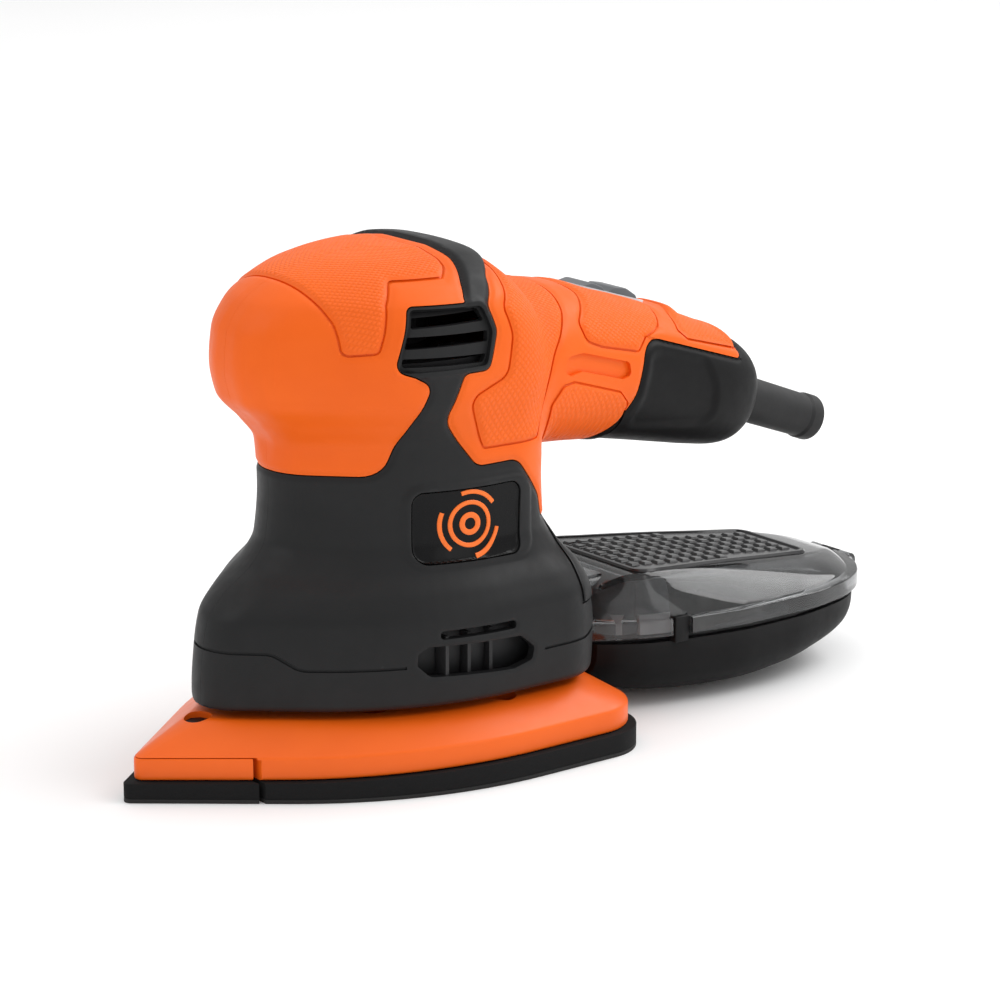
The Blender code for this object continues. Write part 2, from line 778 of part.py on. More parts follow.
def build_platen_drive():
    y = ORBIT_OFFSET
    finish(bush(PIN_RADIUS + GAP, BEARING_RADIUS, 13.6, 19.6, 16, 0, y), "platen_bearing", "steel")
    screw = turned([(0.02, 9.4), (5.4, 9.4), (5.4, 12.7), (1.6, 12.7), (1.6, 19.8), (0.02, 19.8)], 12, 0, y)
    finish(screw, "platen_screw", "zinc")
    profile = [
        (0.02, 14.3), (3.5, 14.3), (3.5, 17), (2.4, 19.5), (2.4, 26), (3.2, 28.5), (3.2, 34), (0.02, 34),
    ]
    for name, (x, y) in LEG_PLACES.items():
        finish(turned(profile, 10, x, y), name, "rubber")


def build_shaft():
    pin = cylinder(PIN_RADIUS, 13.0, SHAFT_BOTTOM - 0.2, 0, ORBIT_OFFSET, 14)
    cut(pin, cylinder(1.9, 12, 20.8, 0, ORBIT_OFFSET, 10))
    shaft = union(cylinder(SHAFT_RADIUS, SHAFT_BOTTOM, SHAFT_TOP, count=14), pin)
    union(shaft, cylinder(6.0, 20.4, SHAFT_BOTTOM, count=14))
    finish(shaft, "motor_shaft", "steel", pivot=(0, 0, SHAFT_BOTTOM))

    weight = [(0, 0)]
    for k in range(13):
        angle = math.radians(180 + 15 * k)
        weight.append((20 * math.cos(angle), 20 * math.sin(angle)))
    slab = union(prism(weight[1:], 24.3, 28.6), cylinder(7.5, 24.3, 28.6, count=16))
    cut(slab, cylinder(SHAFT_RADIUS + GAP, 20, 40, count=14))
    finish(slab, "counterweight", "lamination")


def build_fan():
    bore = SHAFT_RADIUS + GAP
    disc = turned([(bore, 29), (7, 29), (26, 30.6), (26, 32), (7, 32.4), (7, 38), (bore, 38)], 18)
    for k in range(8):
        blade = box((6.5, -0.7, 31), (25, 0.7, 37))
        blade.data.transform(Matrix.Rotation(2 * math.pi * k / 8, 4, "Z"))
        union(disc, blade)
    finish(disc, "cooling_fan", "black")


def inner_section(height, trim):
    outline = around(drop_outline(*blend(BODY_SECTIONS, height), segments=8), 20)
    shares = [1 - trim / math.hypot(x, y) for x, y in outline]
    return [(x * share, y * share) for (x, y), share in zip(outline, shares)]


def build_baffle():
    plate = prism(inner_section(39.5, WALL + 1.7), 38.6, 40.8)
    union(plate, cylinder(13, 40, 48, count=16))
    cut(plate, cylinder(BEARING_RADIUS + 0.5, 41.4, 60, count=16), cylinder(8, 30, 60, count=16))
    for angle in range(0, 360, 60):
        x = 20 * math.sin(math.radians(angle + 30))
        y = 20 * math.cos(math.radians(angle + 30))
        cut(plate, cylinder(4.2, 30, 60, x, y, 8))
    union(plate, *build_leg_sockets_on_plate())
    finish(plate, "fan_baffle", "black")
    finish(bush(SHAFT_RADIUS + GAP, BEARING_RADIUS, 41.7, 47.7, 16), "lower_bearing", "steel")


def build_leg_sockets_on_plate():
    """Cups over the legs' upper ends, centred on the middle of the orbit."""
    items = []
    for x, y in LEG_PLACES.values():
        socket = cylinder(6.2, 26.5, 39.5, x, y - ORBIT_OFFSET, 10)
        items.append(cut(socket, cylinder(4.9, 20, 36, x, y - ORBIT_OFFSET, 10)))
    return items


def build_motor():
    core = turned([(5.3, 58), (14.4, 58), (14.4, 86), (5.3, 86)], 20)
    for k in range(10):
        slot = box((12.2, -1.1, 50), (16, 1.1, 90))
        slot.data.transform(Matrix.Rotation(2 * math.pi * k / 10 + 0.157, 4, "Z"))
        cut(core, slot)
    finish(core, "armature_core", "lamination")
    bore = SHAFT_RADIUS + GAP
    windings = turned([
        (bore, 50.8), (10.5, 50.8), (13.2, 52.8), (13.2, 57.7), (5.0, 57.7), (5.0, 86.3),
        (13.2, 86.3), (13.2, 90.4), (10.5, 92.4), (bore, 92.4),
    ], 16)
    finish(windings, "armature_windings", "copper")
    low, high = COMMUTATOR_Z
    riser = low + 1.6
    barrel = turned([(bore, low), (10, low), (10, riser), (8.5, riser), (8.5, high), (bore, high)], 16)
    finish(barrel, "commutator", "copper")

    stack = bush(15.2, STACK_RADIUS, STACK_BOTTOM + 2, STACK_TOP - 2, 24)
    for side in (1, -1):
        cut(stack, box((15.5 * side - 2.7, -14, 40), (15.5 * side + 2.7, 14, 100)))
    finish(stack, "field_stack", "lamination")
    for side, name in ((1, "field_coil_right"), (-1, "field_coil_left")):
        outline = rounded([(-11.5, 53, 2), (11.5, 53, 2), (11.5, 91, 2), (-11.5, 91, 2)], 2)
        loop = cut(prism(outline, 15.6, 18.0, "x"), box((10, -8.2, 57.4), (25, 8.2, 86.6)))
        finish(loop if side == 1 else mirror_shape(loop), name, "copper")


def mirror_shape(item):
    item.data.transform(Matrix.Diagonal((-1, 1, 1, 1)))
    item.data.flip_normals()
    return item


def build_brush_gear():
    plate = prism(inner_section(106.2, WALL + 1.9), 104.0, 106.2)
    union(plate, cylinder(11.5, 105, 113, count=16))
    cut(plate, cylinder(8.5, 106.2, 120, count=16), cylinder(5.5, 100, 120, count=16))
    for x in (20, -20):
        for y in (-18, 8):
            cut(plate, cylinder(5.0, 100, 110, x, y, 8))
    cut(plate, cylinder(7.0, 100, 110, 0, -42, 10))
    finish(plate, "brush_plate", "black")
    finish(bush(SHAFT_RADIUS + GAP, 8.0, 106.5, 111.5, 16), "upper_bearing", "steel")

    for side, end in ((-1, "front"), (1, "rear")):
        low, high = sorted((11 * side, 29 * side))
        holder = box((-4.8, low, 94.6), (4.8, high, 103.7))
        start, stop = sorted((9 * side, 27.8 * side))
        cut(holder, box((-3.5, start, 95.7), (3.5, stop, 102.5)))
        finish(holder, "brush_holder_" + end, "brass")
        low, high = sorted((8.8 * side, 20 * side))
        finish(box((-3.1, low, 96.1), (3.1, high, 102.1)), "carbon_brush_" + end, "carbon")
        turns = []
        for k in range(25):
            angle = k * math.pi / 4
            turns.append((2.0 * math.cos(angle), side * (20.7 + k * 0.245), 99.1 + 2.0 * math.sin(angle)))
        finish(coil(turns, 0.4), "brush_spring_" + end, "steel")


def coil(path, radius):
    rings = []
    for i, point in enumerate(path):
        here = Vector(point)
        ahead = (Vector(path[min(i + 1, len(path) - 1)]) - Vector(path[max(i - 1, 0)])).normalized()
        out = Vector((here.x, 0, here.z - 99.1)).normalized()
        other = ahead.cross(out).normalized()
        rings.append([tuple(here + radius * way) for way in (out, other, -out, -other)])
    return loft(rings)


def twin_lead(route):
    """Two insulated wires side by side along a (y, z) route."""
    return union(*[tube([(x, y, z) for y, z in route], 1.0, 6) for x in (0.8, -0.8)])


def build_leads():
    motor = twin_lead([(26.5, 91.5), (32, 91.3), (40, 88.8), (46, 86.4), (51.5, 83.0), (54.9, 81.6)])
    finish(motor, "motor_leads", "rubber")
    supply = twin_lead([(69, 76.5), (76, 79.4), (84, 80.9), (98, 79.9), (112, 76.6)])
    finish(supply, "supply_leads", "white")


def build_port():
    duct = prism(port_outline(14, 8, 3), 39.5, 50.6, "y")
    finish(cut(duct, prism(port_outline(12, 6, 2), 30, 60, "y")), "exhaust_port", "black")


def port_outline(half_width, half_height, radius):
    """Rounded rectangle about the centre of the dust port."""
    low, high = PORT_Z - half_height, PORT_Z + half_height
    return rounded([
        (-half_width, low, radius), (half_width, low, radius),
        (half_width, high, radius), (-half_width, high, radius),
    ], 3)


def dome(rows, floor, inset=0.0, count=10):
    rings = []
    last = len(rows) - 1
    for i, (y, half, height, power) in enumerate(rows):
        reach = half - inset
        rise = height - floor
        rise -= math.copysign(inset, rise)
        if i == 0:
            y = y + inset
        if i == last:
            y = y - inset
        ring = []
        for k in range(count + 1):
            angle = math.pi * k / count
            ring.append((max(reach, 0.8) * squared(math.cos(angle), 2 / power), y,
                         floor + rise * squared(math.sin(angle), 2 / power)))
        rings.append(ring)
    return rings


def open_floor(rings, floor):
    """Carry the flat side of a dome past the opening it cuts."""
    moved = []
    for ring in rings:
        ring = [tuple(p) for p in ring]
        first, last = ring[0], ring[-1]
        moved.append([(first[0], first[1], floor)] + ring + [(last[0], last[1], floor)])
    return moved


def plan(rows, inset=0.0):
    right = [(x - inset, y) for y, x in rows]
    right[0] = (right[0][0], right[0][1] + inset)
    right[-1] = (right[-1][0], right[-1][1] - inset)
    return right + [(-x, y) for x, y in right[::-1]]


def build_cover():
    cover = union(prism(plan(FLANGE_PLAN), FLANGE_BOTTOM, FLANGE_TOP), loft(dome(COVER_SECTIONS, 24.0)))
    union(cover, prism(port_outline(11.6, 5.6, 2), 43.5, 60, "y"))
    inside = open_floor(dome(COVER_SECTIONS, 24.0, CANISTER_WALL), 19.0)
    cut(cover, loft(inside))
    cut(cover, prism(port_outline(10, 4, 1.5), 40, 66, "y"))
    for x in (5.6, -5.6):
        union(cover, hinge_knuckle(x - 2.0, x + 2.0, 151.0))
    cut(cover, box((-3.4, 152.4, 15), (3.4, 160, 30)))
    cut(cover, cylinder(1.5, -20, 20, HINGE_Y, HINGE_Z, 10, "x"))
    cut(cover, latch_notch(1), latch_notch(-1))
    finish(cover, "canister_cover", "smoke")
    pin = cylinder(1.2, -7.6, 7.6, HINGE_Y, HINGE_Z, 10, "x")
    finish(pin, "canister_hinge_pin", "steel")


def latch_notch(side):
    low, high = sorted((side * 26.2, side * 34))
    return box((low, 71.2, 15), (high, 79.8, FLANGE_TOP + 4))


def hinge_knuckle(low, high, root):
    bar = cylinder(2.3, low, high, HINGE_Y, HINGE_Z, 12, "x")
    return union(bar, box((low, root, HINGE_Z - 1.6), (high, HINGE_Y, HINGE_Z + 1.6)))


def build_bowl():
    bowl = loft(dome(BOWL_SECTIONS, BOWL_TOP))
    cut(bowl, loft(open_floor(dome(BOWL_SECTIONS, BOWL_TOP, 2.0), BOWL_TOP + 3)))
    for side in (1, -1):
        low, high = sorted((side * 24.6, side * 28.4))
        union(bowl, box((low, 72.0, 12), (high, 79.0, BOWL_TOP - 0.5)))
        low, high = sorted((side * 26.6, side * 28.4))
        union(bowl, box((low, 72.0, 14), (high, 79.0, 26)))
    eye = cylinder(2.3, -3.0, 3.0, HINGE_Y, HINGE_Z, 12, "x")
    post = box((-3.0, 152.8, 15.2), (3.0, 157.2, HINGE_Z))
    root = box((-3.0, 146.5, 14.6), (3.0, 157.2, 18.4))
    union(bowl, union(eye, post, root))
    cut(bowl, cylinder(1.5, -20, 20, HINGE_Y, HINGE_Z, 10, "x"))
    finish(bowl, "canister_bowl", "black", pivot=(0, HINGE_Y, HINGE_Z))


def build_seal():
    rows = [(y, x) for y, x, _, _ in BOWL_SECTIONS]
    ring = prism(plan(rows, 0.2), BOWL_TOP + GAP, FLANGE_BOTTOM - GAP)
    cut(ring, prism(plan(rows, 1.9), 0, 40))
    for side in (1, -1):
        low, high = sorted((side * 24.2, side * 34))
        cut(ring, box((low, 71.6, 10), (high, 79.4, 30)))
    finish(ring, "canister_seal", "rubber")


def build_filter():
    outer = rounded([(-20, 86, 4), (20, 86, 4), (17, 124, 4), (-17, 124, 4)], 2)
    inner = rounded([(-18, 88, 3), (18, 88, 3), (15.2, 122, 3), (-15.2, 122, 3)], 2)
    frame = cut(prism(outer, 9.0, 18.0), prism(inner, 10.6, 20))
    finish(frame, "filter_frame", "grey")
    lower, upper = [], []
    for k in range(17):
        y = 89.0 + 2.0 * k
        wave = 1.3 if k % 2 else -1.3
        lower.append((y, 12.4 + wave))
        upper.append((y, 14.8 + wave))
    finish(prism(lower + upper[::-1], -14.4, 14.4, "x"), "filter_media", "filter", smooth=0)


def main():
    clear_file()
    build_pads()
    build_platen()
    build_platen_drive()
    build_shaft()
    build_fan()
    build_baffle()
    build_motor()
    build_brush_gear()
    build_leads()
    build_housing()
    build_badges()
    build_switch()
    build_end_cap()
    build_strain_relief()
    build_cord_clamp()
    build_clamshell_screws()
    build_port()
    build_cover()
    build_bowl()
    build_seal()
    build_filter()


main()
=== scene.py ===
"""The looks of a detail mouse sander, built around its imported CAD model.

Lengths are in millimetres until a mesh is made. The origin lies on the sanding face under the
motor axis, the nose points along -Y, the handle along +Y, and Z is up, as in the CAD.
"""
import json
import math

import bpy
import bmesh
import numpy as np
from mathutils import Matrix, Vector
from mathutils.bvhtree import BVHTree


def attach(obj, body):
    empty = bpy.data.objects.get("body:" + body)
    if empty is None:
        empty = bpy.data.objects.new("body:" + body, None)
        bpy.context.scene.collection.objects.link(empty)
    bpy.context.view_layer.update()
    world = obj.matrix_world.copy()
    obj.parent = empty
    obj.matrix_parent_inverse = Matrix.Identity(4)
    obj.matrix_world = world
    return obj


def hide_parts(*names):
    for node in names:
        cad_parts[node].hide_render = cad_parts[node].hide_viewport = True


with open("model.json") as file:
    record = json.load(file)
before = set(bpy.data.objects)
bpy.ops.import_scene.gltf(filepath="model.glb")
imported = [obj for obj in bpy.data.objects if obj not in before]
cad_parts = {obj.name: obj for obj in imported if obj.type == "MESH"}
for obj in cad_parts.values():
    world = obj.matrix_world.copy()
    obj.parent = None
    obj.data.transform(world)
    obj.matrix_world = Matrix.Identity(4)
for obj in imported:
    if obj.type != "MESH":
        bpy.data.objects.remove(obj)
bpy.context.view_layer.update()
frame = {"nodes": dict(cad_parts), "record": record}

MM = 0.001
WALL = 2.6
PARTING_GAP = 0.16
SHELL_VOXEL = 0.5
SEAM_GAP = 0.03
# Reach of cutting shapes, past the widest half of the housing.
FAR = 60
BODY_FOOT, DOME_START, DOME_RISE, HEAD_TOP = 20.3, 120, 10.3, 130.3
HANDLE_START, HANDLE_END = 15, 116
BADGE_CENTRE = (3.0, 64.1)

# Housing sections: height, nose y, nose radius, half width, flank y, flank radius,
# rear corner y, rear corner radius, tail y.
BODY_SECTIONS = [
    (20.3, -62.5, 11, 39, -17, 85, 40, 14, 47.5),
    (21.5, -63.4, 13, 40.5, -17, 85, 40.5, 16, 49),
    (34, -62, 13, 41.5, -17, 85, 40.5, 16, 48.5),
    (42, -60.5, 14, 41, -17, 85, 39.5, 16, 47.5),
    (48, -55.6, 15, 38.5, -16, 75, 37.5, 16, 45),
    (54, -47.2, 16, 34.6, -13, 60, 33.6, 16, 40),
    (60, -43, 16, 32.6, -11, 50, 31.8, 16, 36.9),
    (72, -41.8, 16, 32.3, -10, 50, 31.6, 16, 36.2),
    (84, -43, 16, 32.3, -10, 50, 32, 16, 36.6),
    (90, -49.2, 18, 33.5, -12, 50, 31, 16, 35.5),
    (97, -59, 20, 35.3, -14, 50, 31, 16, 35),
    (105, -61.2, 20, 36, -14, 50, 30, 16, 33.5),
    (113, -60.2, 20, 35.5, -14, 50, 27.8, 16, 31.4),
    (120, -55, 20, 33, -14, 48, 23.4, 15, 27.2),
    (125, -44.5, 18, 27, -13, 40, 19.6, 14, 23.2),
    (128.7, -26.5, 14, 19, -8, 26, 15.4, 10, 18.6),
    (130.3, -7.5, 8, 9.5, 0, 12, 8, 5, 10.5),
]
TAIL_RADIUS = 60
# Half width of the flat strip down the nose, by height.
PROW_STRIP = [(20, 0.5), (78, 0.5), (84, 3.5), (92, 4.5), (112, 4.0), (122, 3.0), (128, 0.5)]

# Handle sections: y, half width, top z, bottom z, upper squareness, lower squareness, lean.
HANDLE_SECTIONS = [
    (15, 27, 119, 76, 2.3, 2.3, 0.1),
    (30, 27, 117, 74.5, 2.4, 2.3, 0.1),
    (45, 25, 114.8, 73.8, 2.4, 2.3, 0.2),
    (60, 23.5, 110.8, 72.6, 2.4, 2.3, 0.28),
    (75, 22.5, 105.8, 69.8, 2.4, 2.3, 0.28),
    (90, 21.3, 100, 66.6, 2.4, 2.3, 0.28),
    (100, 20.3, 95.8, 64.5, 2.4, 2.3, 0.28),
    (108, 18.3, 91.3, 63.3, 2.4, 2.3, 0.28),
    (113, 14.3, 86.8, 65, 2.4, 2.3, 0.28),
    (116, 9, 82.5, 69.8, 2, 2, 0.28),
]

# Canister cover: y, half width, height, half width of its flat top.
COVER_SECTIONS = [
    (57, 15, 30.5, 10), (62, 19, 34.6, 14.5), (66.5, 22, 36.8, 19), (70, 24, 36.9, 20.6),
    (80, 26.8, 36.0, 19.6), (100, 29.3, 33.9, 17.5), (118, 29, 31.7, 15.6), (134, 25.8, 29.8, 13.4),
    (142, 21.2, 28.5, 10), (148, 14, 27, 6), (151.5, 4, 25.4, 1.5),
]
# Bowl: y, half width, height, squareness.
BOWL_SECTIONS = [
    (57, 16.4, 7.6, 3), (62, 20.2, 4.8, 3.3), (70, 24.4, 2.8, 3.6), (85, 28.2, 1.5, 3.8),
    (100, 30.3, 1.2, 3.8), (115, 30.0, 2.3, 3.7), (128, 27.8, 4.4, 3.5), (138, 24.6, 6.7, 3.3),
    (145, 19.5, 9.4, 3), (150, 11, 13.2, 2.5),
]
# Flange between them: y, half width.
FLANGE_PLAN = [
    (51, 15), (55, 18.5), (62, 22.5), (70, 26), (80, 28.8), (100, 31.5), (118, 31.3),
    (132, 28.8), (142, 24), (149, 17), (153.5, 7),
]
COVER_FLOOR = 24.0
FLANGE_Z = (20.3, 25.0)
BOWL_TOP = 18.6
HINGE = (155.0, 22.3)
PORT_Z = 30.0

# Parting lines in side view (y, z), each with a corner radius.
LOBE_EDGE = [
    (-90, 77.3, 0), (-17.5, 77.3, 6), (-9.5, 101, 3), (-14, 103.6, 2), (-19, 105.5, 3),
    (-14.2, 120.6, 2), (1, 120.2, 1), (3.6, 124, 3), (6.8, 127.8, 5), (10, 133, 3), (11, 145, 0),
]
HANDLE_EDGE = [
    (75, 60.5, 0), (28.5, 60.5, 3), (26.8, 67, 8), (18, 78.2, 5), (5.6, 78.2, 4), (-4.8, 91.5, 6),
    (-0.8, 103.3, 2), (6.2, 103.3, 2), (9, 112.5, 4), (7.6, 119, 3), (12.4, 124.6, 4), (29.5, 131.3, 4),
    (31, 145, 0),
]
CAP_EDGE = [
    (54, 45, 0), (57, 72, 10), (64.8, 86.0, 14), (68.9, 100.5, 5), (105.5, 88.5, 2), (108.5, 110, 0),
]
LOBE_SCREWS = [(-38, 100)]
BASE_SCREWS = [(31, 52), (-29, 66)]
HANDLE_SCREWS = [(45, 80.2)]

# Textured grip panels in side view, each with a corner radius.
LOBE_PANEL = [
    (-36, 136, 0), (-33.3, 125.4, 4), (-30.2, 117, 6), (-29.4, 109.4, 1.6), (-22.0, 109.9, 1.6),
    (-18.4, 121, 2), (-14.2, 125.6, 3), (-0.4, 125.5, 0.6), (2.7, 127.2, 2), (8.5, 136, 0),
]
REAR_PANEL = [
    (24, 136, 0), (17.4, 124.2, 4), (12.2, 117.8, 3), (13.9, 111, 5), (12.2, 101, 4), (1.2, 96.4, 3),
    (7.4, 82.6, 1.4), (26.2, 82.2, 1.4), (34.6, 101.3, 14), (42.5, 110.4, 6), (48, 120, 0),
]
GRIP_PANEL = [
    (54.5, 122, 0), (53.4, 112.4, 1.5), (46.2, 107.2, 2), (47.2, 102.6, 3), (52.5, 100.4, 3),
    (65.4, 97.2, 1.5), (69.4, 100.4, 2.5), (76, 101.6, 2), (79.5, 104.2, 2), (84, 118, 0),
]
REAR_TOP_PANEL = [(91, 112, 0), (88.2, 104, 1.5), (85.2, 101.8, 0.8), (83.4, 99.4, 0.8), (85.2, 97.1, 0.8),
                  (105, 91.3, 0.6), (118, 98, 0)]
PALM_PANEL = [
    (33.0, 40, 0), (33.6, 88.5, 2), (37.4, 92.9, 2.5), (41.5, 93.2, 2), (58.4, 87.8, 1.5), (62, 84, 2),
    (62, 40, 0),
]
RAISED_PANELS = (LOBE_PANEL, REAR_PANEL, GRIP_PANEL, REAR_TOP_PANEL)
GRIP_PANELS = RAISED_PANELS + (PALM_PANEL,)

# Recesses, badge, vents and grooves in side view.
FINGER_RECESS = [(38.0, 96.2, 1.2), (39.6, 100.1, 2), (45.2, 100.1, 2), (61.6, 95.2, 1.4), (62.2, 91.7, 1.2),
                 (59.3, 91.0, 1.2), (44.6, 95.4, 2), (40.2, 94.9, 1.2)]
CAP_PANEL = [(67.2, 84, 2), (70.2, 95.6, 3), (74.2, 96.0, 2), (91.0, 91.2, 4), (93.6, 84, 3), (93.6, 73, 6),
             (64.5, 76, 5)]
BADGE_FRAME = [(-13.6, 54.4, 4.5), (21.5, 53.8, 5), (22.5, 74.6, 5.5), (-13.0, 74.6, 4.5)]
BADGE_PLATE = [(-12, 55.4, 3), (17.2, 55.0, 3), (18.3, 73, 3), (-11.3, 73, 3)]
VENT_RECESS = [(-18.0, 105.2, 2.6), (-16.4, 112, 1), (-13.6, 119.9, 1.4), (5.6, 119.2, 1.6), (7.4, 112.8, 3),
               (5.6, 104.7, 1.6), (-15.4, 104.8, 1.6)]
VENT_SLOTS = [
    [(-16.8, 106.0, 1.0), (5.0, 105.3, 1.0), (5.9, 107.4, 0.4), (-16.4, 108.2, 0.4)],
    [(-15.8, 110.4, 0.4), (6.5, 110.3, 0.4), (6.7, 113.0, 0.4), (-15.0, 113.4, 0.4)],
    [(-14.0, 115.2, 0.4), (6.0, 115.4, 0.4), (4.8, 118.6, 1.2), (-12.8, 119.2, 1.2)],
]
SKIRT_SLOT = [(-16, 34.6, 1), (-13.6, 36.2, 2), (12, 35.6, 2), (16.4, 32, 1.5), (15.8, 28.6, 1.5),
              (10, 27.2, 2), (-13, 28.4, 2.5), (-16.2, 31.6, 1)]
SKIRT_VENT = [(-10.4, 37.7, 1), (10.7, 37.7, 1), (10.7, 39.9, 1), (-10.4, 39.9, 1)]
SKIRT_GROOVES = [
    [(-75, 35.2, 0), (-45.5, 35.2, 4), (-40.5, 31.2, 4), (-18.8, 31.4, 0)],
    [(19.5, 30.9, 0), (34, 31.0, 6), (44.5, 33.6, 5), (60, 33.8, 0)],
]
# Switch and cord: (y, z) places, and slopes.
ROCKER_CENTRE = (68.0, 105.2)
ROCKER_SLOPE = math.radians(-17.5)
ROCKER_TILT = math.radians(-5)
CORD_START = (109.0, 77.1)
CORD_SLOPE = math.radians(-20.6)

# Platen: (x, y) places.
DUST_HOLES = [(22, -20), (-22, -20), (33, 12), (-33, 12), (14, 42), (-14, 42)]
LEG_PLACES = [(0, -43), (25, 28.5), (-25, 28.5)]
TIP_SEAM_Y = -53.3
TIP_SCREW_Y = -57.5


# ---------------------------------------------------------------- outlines

def smooth_table(table, values):
    """Shape-preserving cubic through the rows of a section table, at many values."""
    rows = np.array(table, float)
    x, y = rows[:, 0], rows[:, 1:]
    gaps = np.diff(x)[:, None]
    rise = np.diff(y, axis=0) / gaps
    slope = np.empty_like(y)
    slope[0], slope[-1] = rise[0], rise[-1]
    same = rise[:-1] * rise[1:] > 0
    safe = np.where(same, rise[:-1] * rise[1:], 1.0)
    slope[1:-1] = np.where(same, 2 * safe / np.where(same, rise[:-1] + rise[1:], 1.0), 0.0)
    values = np.asarray(values, float)
    i = np.clip(np.searchsorted(x, values) - 1, 0, len(x) - 2)
    h = gaps[i]
    t = ((values - x[i]) / gaps[i, 0])[:, None]
    start = (1 + 2 * t) * (1 - t) ** 2 * y[i] + t * (1 - t) ** 2 * h * slope[i]
    end = t * t * (3 - 2 * t) * y[i + 1] + t * t * (t - 1) * h * slope[i + 1]
    return start + end


def fillet(before, here, after, radius, segments):
    before, here, after = Vector(before), Vector(here), Vector(after)
    one = (before - here).normalized()
    two = (after - here).normalized()
    angle = one.angle(two)
    if radius <= 0 or math.pi - angle < 0.02:
        return [tuple(here)]
    reach = min(radius / math.tan(angle / 2), 0.49 * (before - here).length, 0.49 * (after - here).length)
    radius = reach * math.tan(angle / 2)
    centre = here + (one + two).normalized() * (radius / math.sin(angle / 2))
    start = here + one * reach - centre
    end = here + two * reach - centre
    first = math.atan2(start.y, start.x)
    turn = (math.atan2(end.y, end.x) - first + math.pi) % (2 * math.pi) - math.pi
    points = []
    for k in range(segments + 1):
        a = first + turn * k / segments
        points.append((centre.x + radius * math.cos(a), centre.y + radius * math.sin(a)))
    return points


def rounded(corners, segments=6):
    """Closed outline with filleted corners (a, b, radius)."""
    outline = []
    count = len(corners)
    for i, (a, b, radius) in enumerate(corners):
        outline += fillet(corners[i - 1][:2], (a, b), corners[(i + 1) % count][:2], radius, segments)
    return outline


def rounded_line(line, segments=6):
    """Open line with filleted corners (a, b, radius)."""
    points = [tuple(line[0][:2])]
    for i in range(1, len(line) - 1):
        points += fillet(line[i - 1][:2], line[i][:2], line[i + 1][:2], line[i][2], segments)
    points.append(tuple(line[-1][:2]))
    return points


def shifted(line, distance):
    """Move an open line sideways; positive is to the left of its direction."""
    points = [Vector(p) for p in line]
    moved = []
    for i, point in enumerate(points):
        normals = []
        for a, b in ((i - 1, i), (i, i + 1)):
            if a >= 0 and b < len(points):
                run = (points[b] - points[a]).normalized()
                normals.append(Vector((-run.y, run.x)))
        mean = sum(normals, Vector((0, 0))).normalized()
        moved.append(tuple(point + mean * distance / max(0.5, mean.dot(normals[0]))))
    return moved


def drop_outline(nose, nose_radius, half, flank, flank_radius, rear, rear_radius, tail, segments=12):
    right = [(0, nose, nose_radius), (half, flank, flank_radius), (half, rear, rear_radius),
             (0, tail, TAIL_RADIUS)]
    left = [(-x, y, r) for x, y, r in right[:0:-1] if x > 0]
    return rounded(right + left, segments)


def pad_outline(inset=0.0, segments=16):
    return drop_outline(-80 + 1.6 * inset, max(1.5, 2 + inset * 0.2), 47.5 - inset, -21, 120,
                        49.5 - inset * 0.6, 14, 57 - inset, segments)


def around(outline, count):
    """Points of an outline at equal angles about the motor axis, starting at the nose."""
    here = np.array(outline, float)
    edge = np.roll(here, -1, axis=0) - here
    angle = 2 * math.pi * np.arange(count) / count
    ux, uy = np.sin(angle)[:, None], -np.cos(angle)[:, None]
    den = ux * edge[:, 1] - uy * edge[:, 0]
    den = np.where(np.abs(den) < 1e-9, 1e-9, den)
    along = (here[:, 0] * edge[:, 1] - here[:, 1] * edge[:, 0]) / den
    across = (here[:, 0] * uy - here[:, 1] * ux) / den
    reach = np.where((across >= -1e-6) & (across <= 1 + 1e-6), along, 0).max(axis=1)
    return np.stack([ux[:, 0] * reach, uy[:, 0] * reach], axis=1)


def line_distance(points, line, closed=False):
    """Distance of each (y, z) point from a line."""
    line = np.array(line, float)
    ends = np.roll(line, -1, axis=0) if closed else line[1:]
    starts = line if closed else line[:-1]
    best = np.full(len(points), 1e9)
    for a, b in zip(starts, ends):
        run = b - a
        size = max(float(run @ run), 1e-12)
        t = np.clip(((points - a) @ run) / size, 0, 1)
        best = np.minimum(best, np.hypot(*(points - a - t[:, None] * run).T))
    return best


def inside(points, polygon):
    """True for each (y, z) point within a closed outline."""
    line = np.array(polygon, float)
    found = np.zeros(len(points), bool)
    for a, b in zip(line, np.roll(line, -1, axis=0)):
        if a[1] == b[1]:
            continue
        crosses = (a[1] > points[:, 1]) != (b[1] > points[:, 1])
        where = a[0] + (points[:, 1] - a[1]) * (b[0] - a[0]) / (b[1] - a[1])
        found ^= crosses & (points[:, 0] < where)
    return found


def depth_inside(points, polygon):
    """Signed distance from a closed outline, positive inside."""
    distance = line_distance(points, polygon, closed=True)
    return np.where(inside(points, polygon), distance, -distance)


def ease(value, low, high):
    t = np.clip((value - low) / (high - low), 0, 1)
    return t * t * (3 - 2 * t)


# ---------------------------------------------------------------- meshes

def solid(points, faces):
    """A mesh from points in millimetres, with its faces turned outwards."""
    mesh = bpy.data.meshes.new("shape")
    mesh.from_pydata([tuple(float(c) * MM for c in p) for p in points], [], faces)
    item = bpy.data.objects.new("shape", mesh)
    bpy.context.scene.collection.objects.link(item)
    return outward(item)


def outward(item):
    work = bmesh.new()
    work.from_mesh(item.data)
    bmesh.ops.recalc_face_normals(work, faces=work.faces)
    if work.calc_volume(signed=True) < 0:
        bmesh.ops.reverse_faces(work, faces=work.faces)
    work.to_mesh(item.data)
    work.free()
    return item


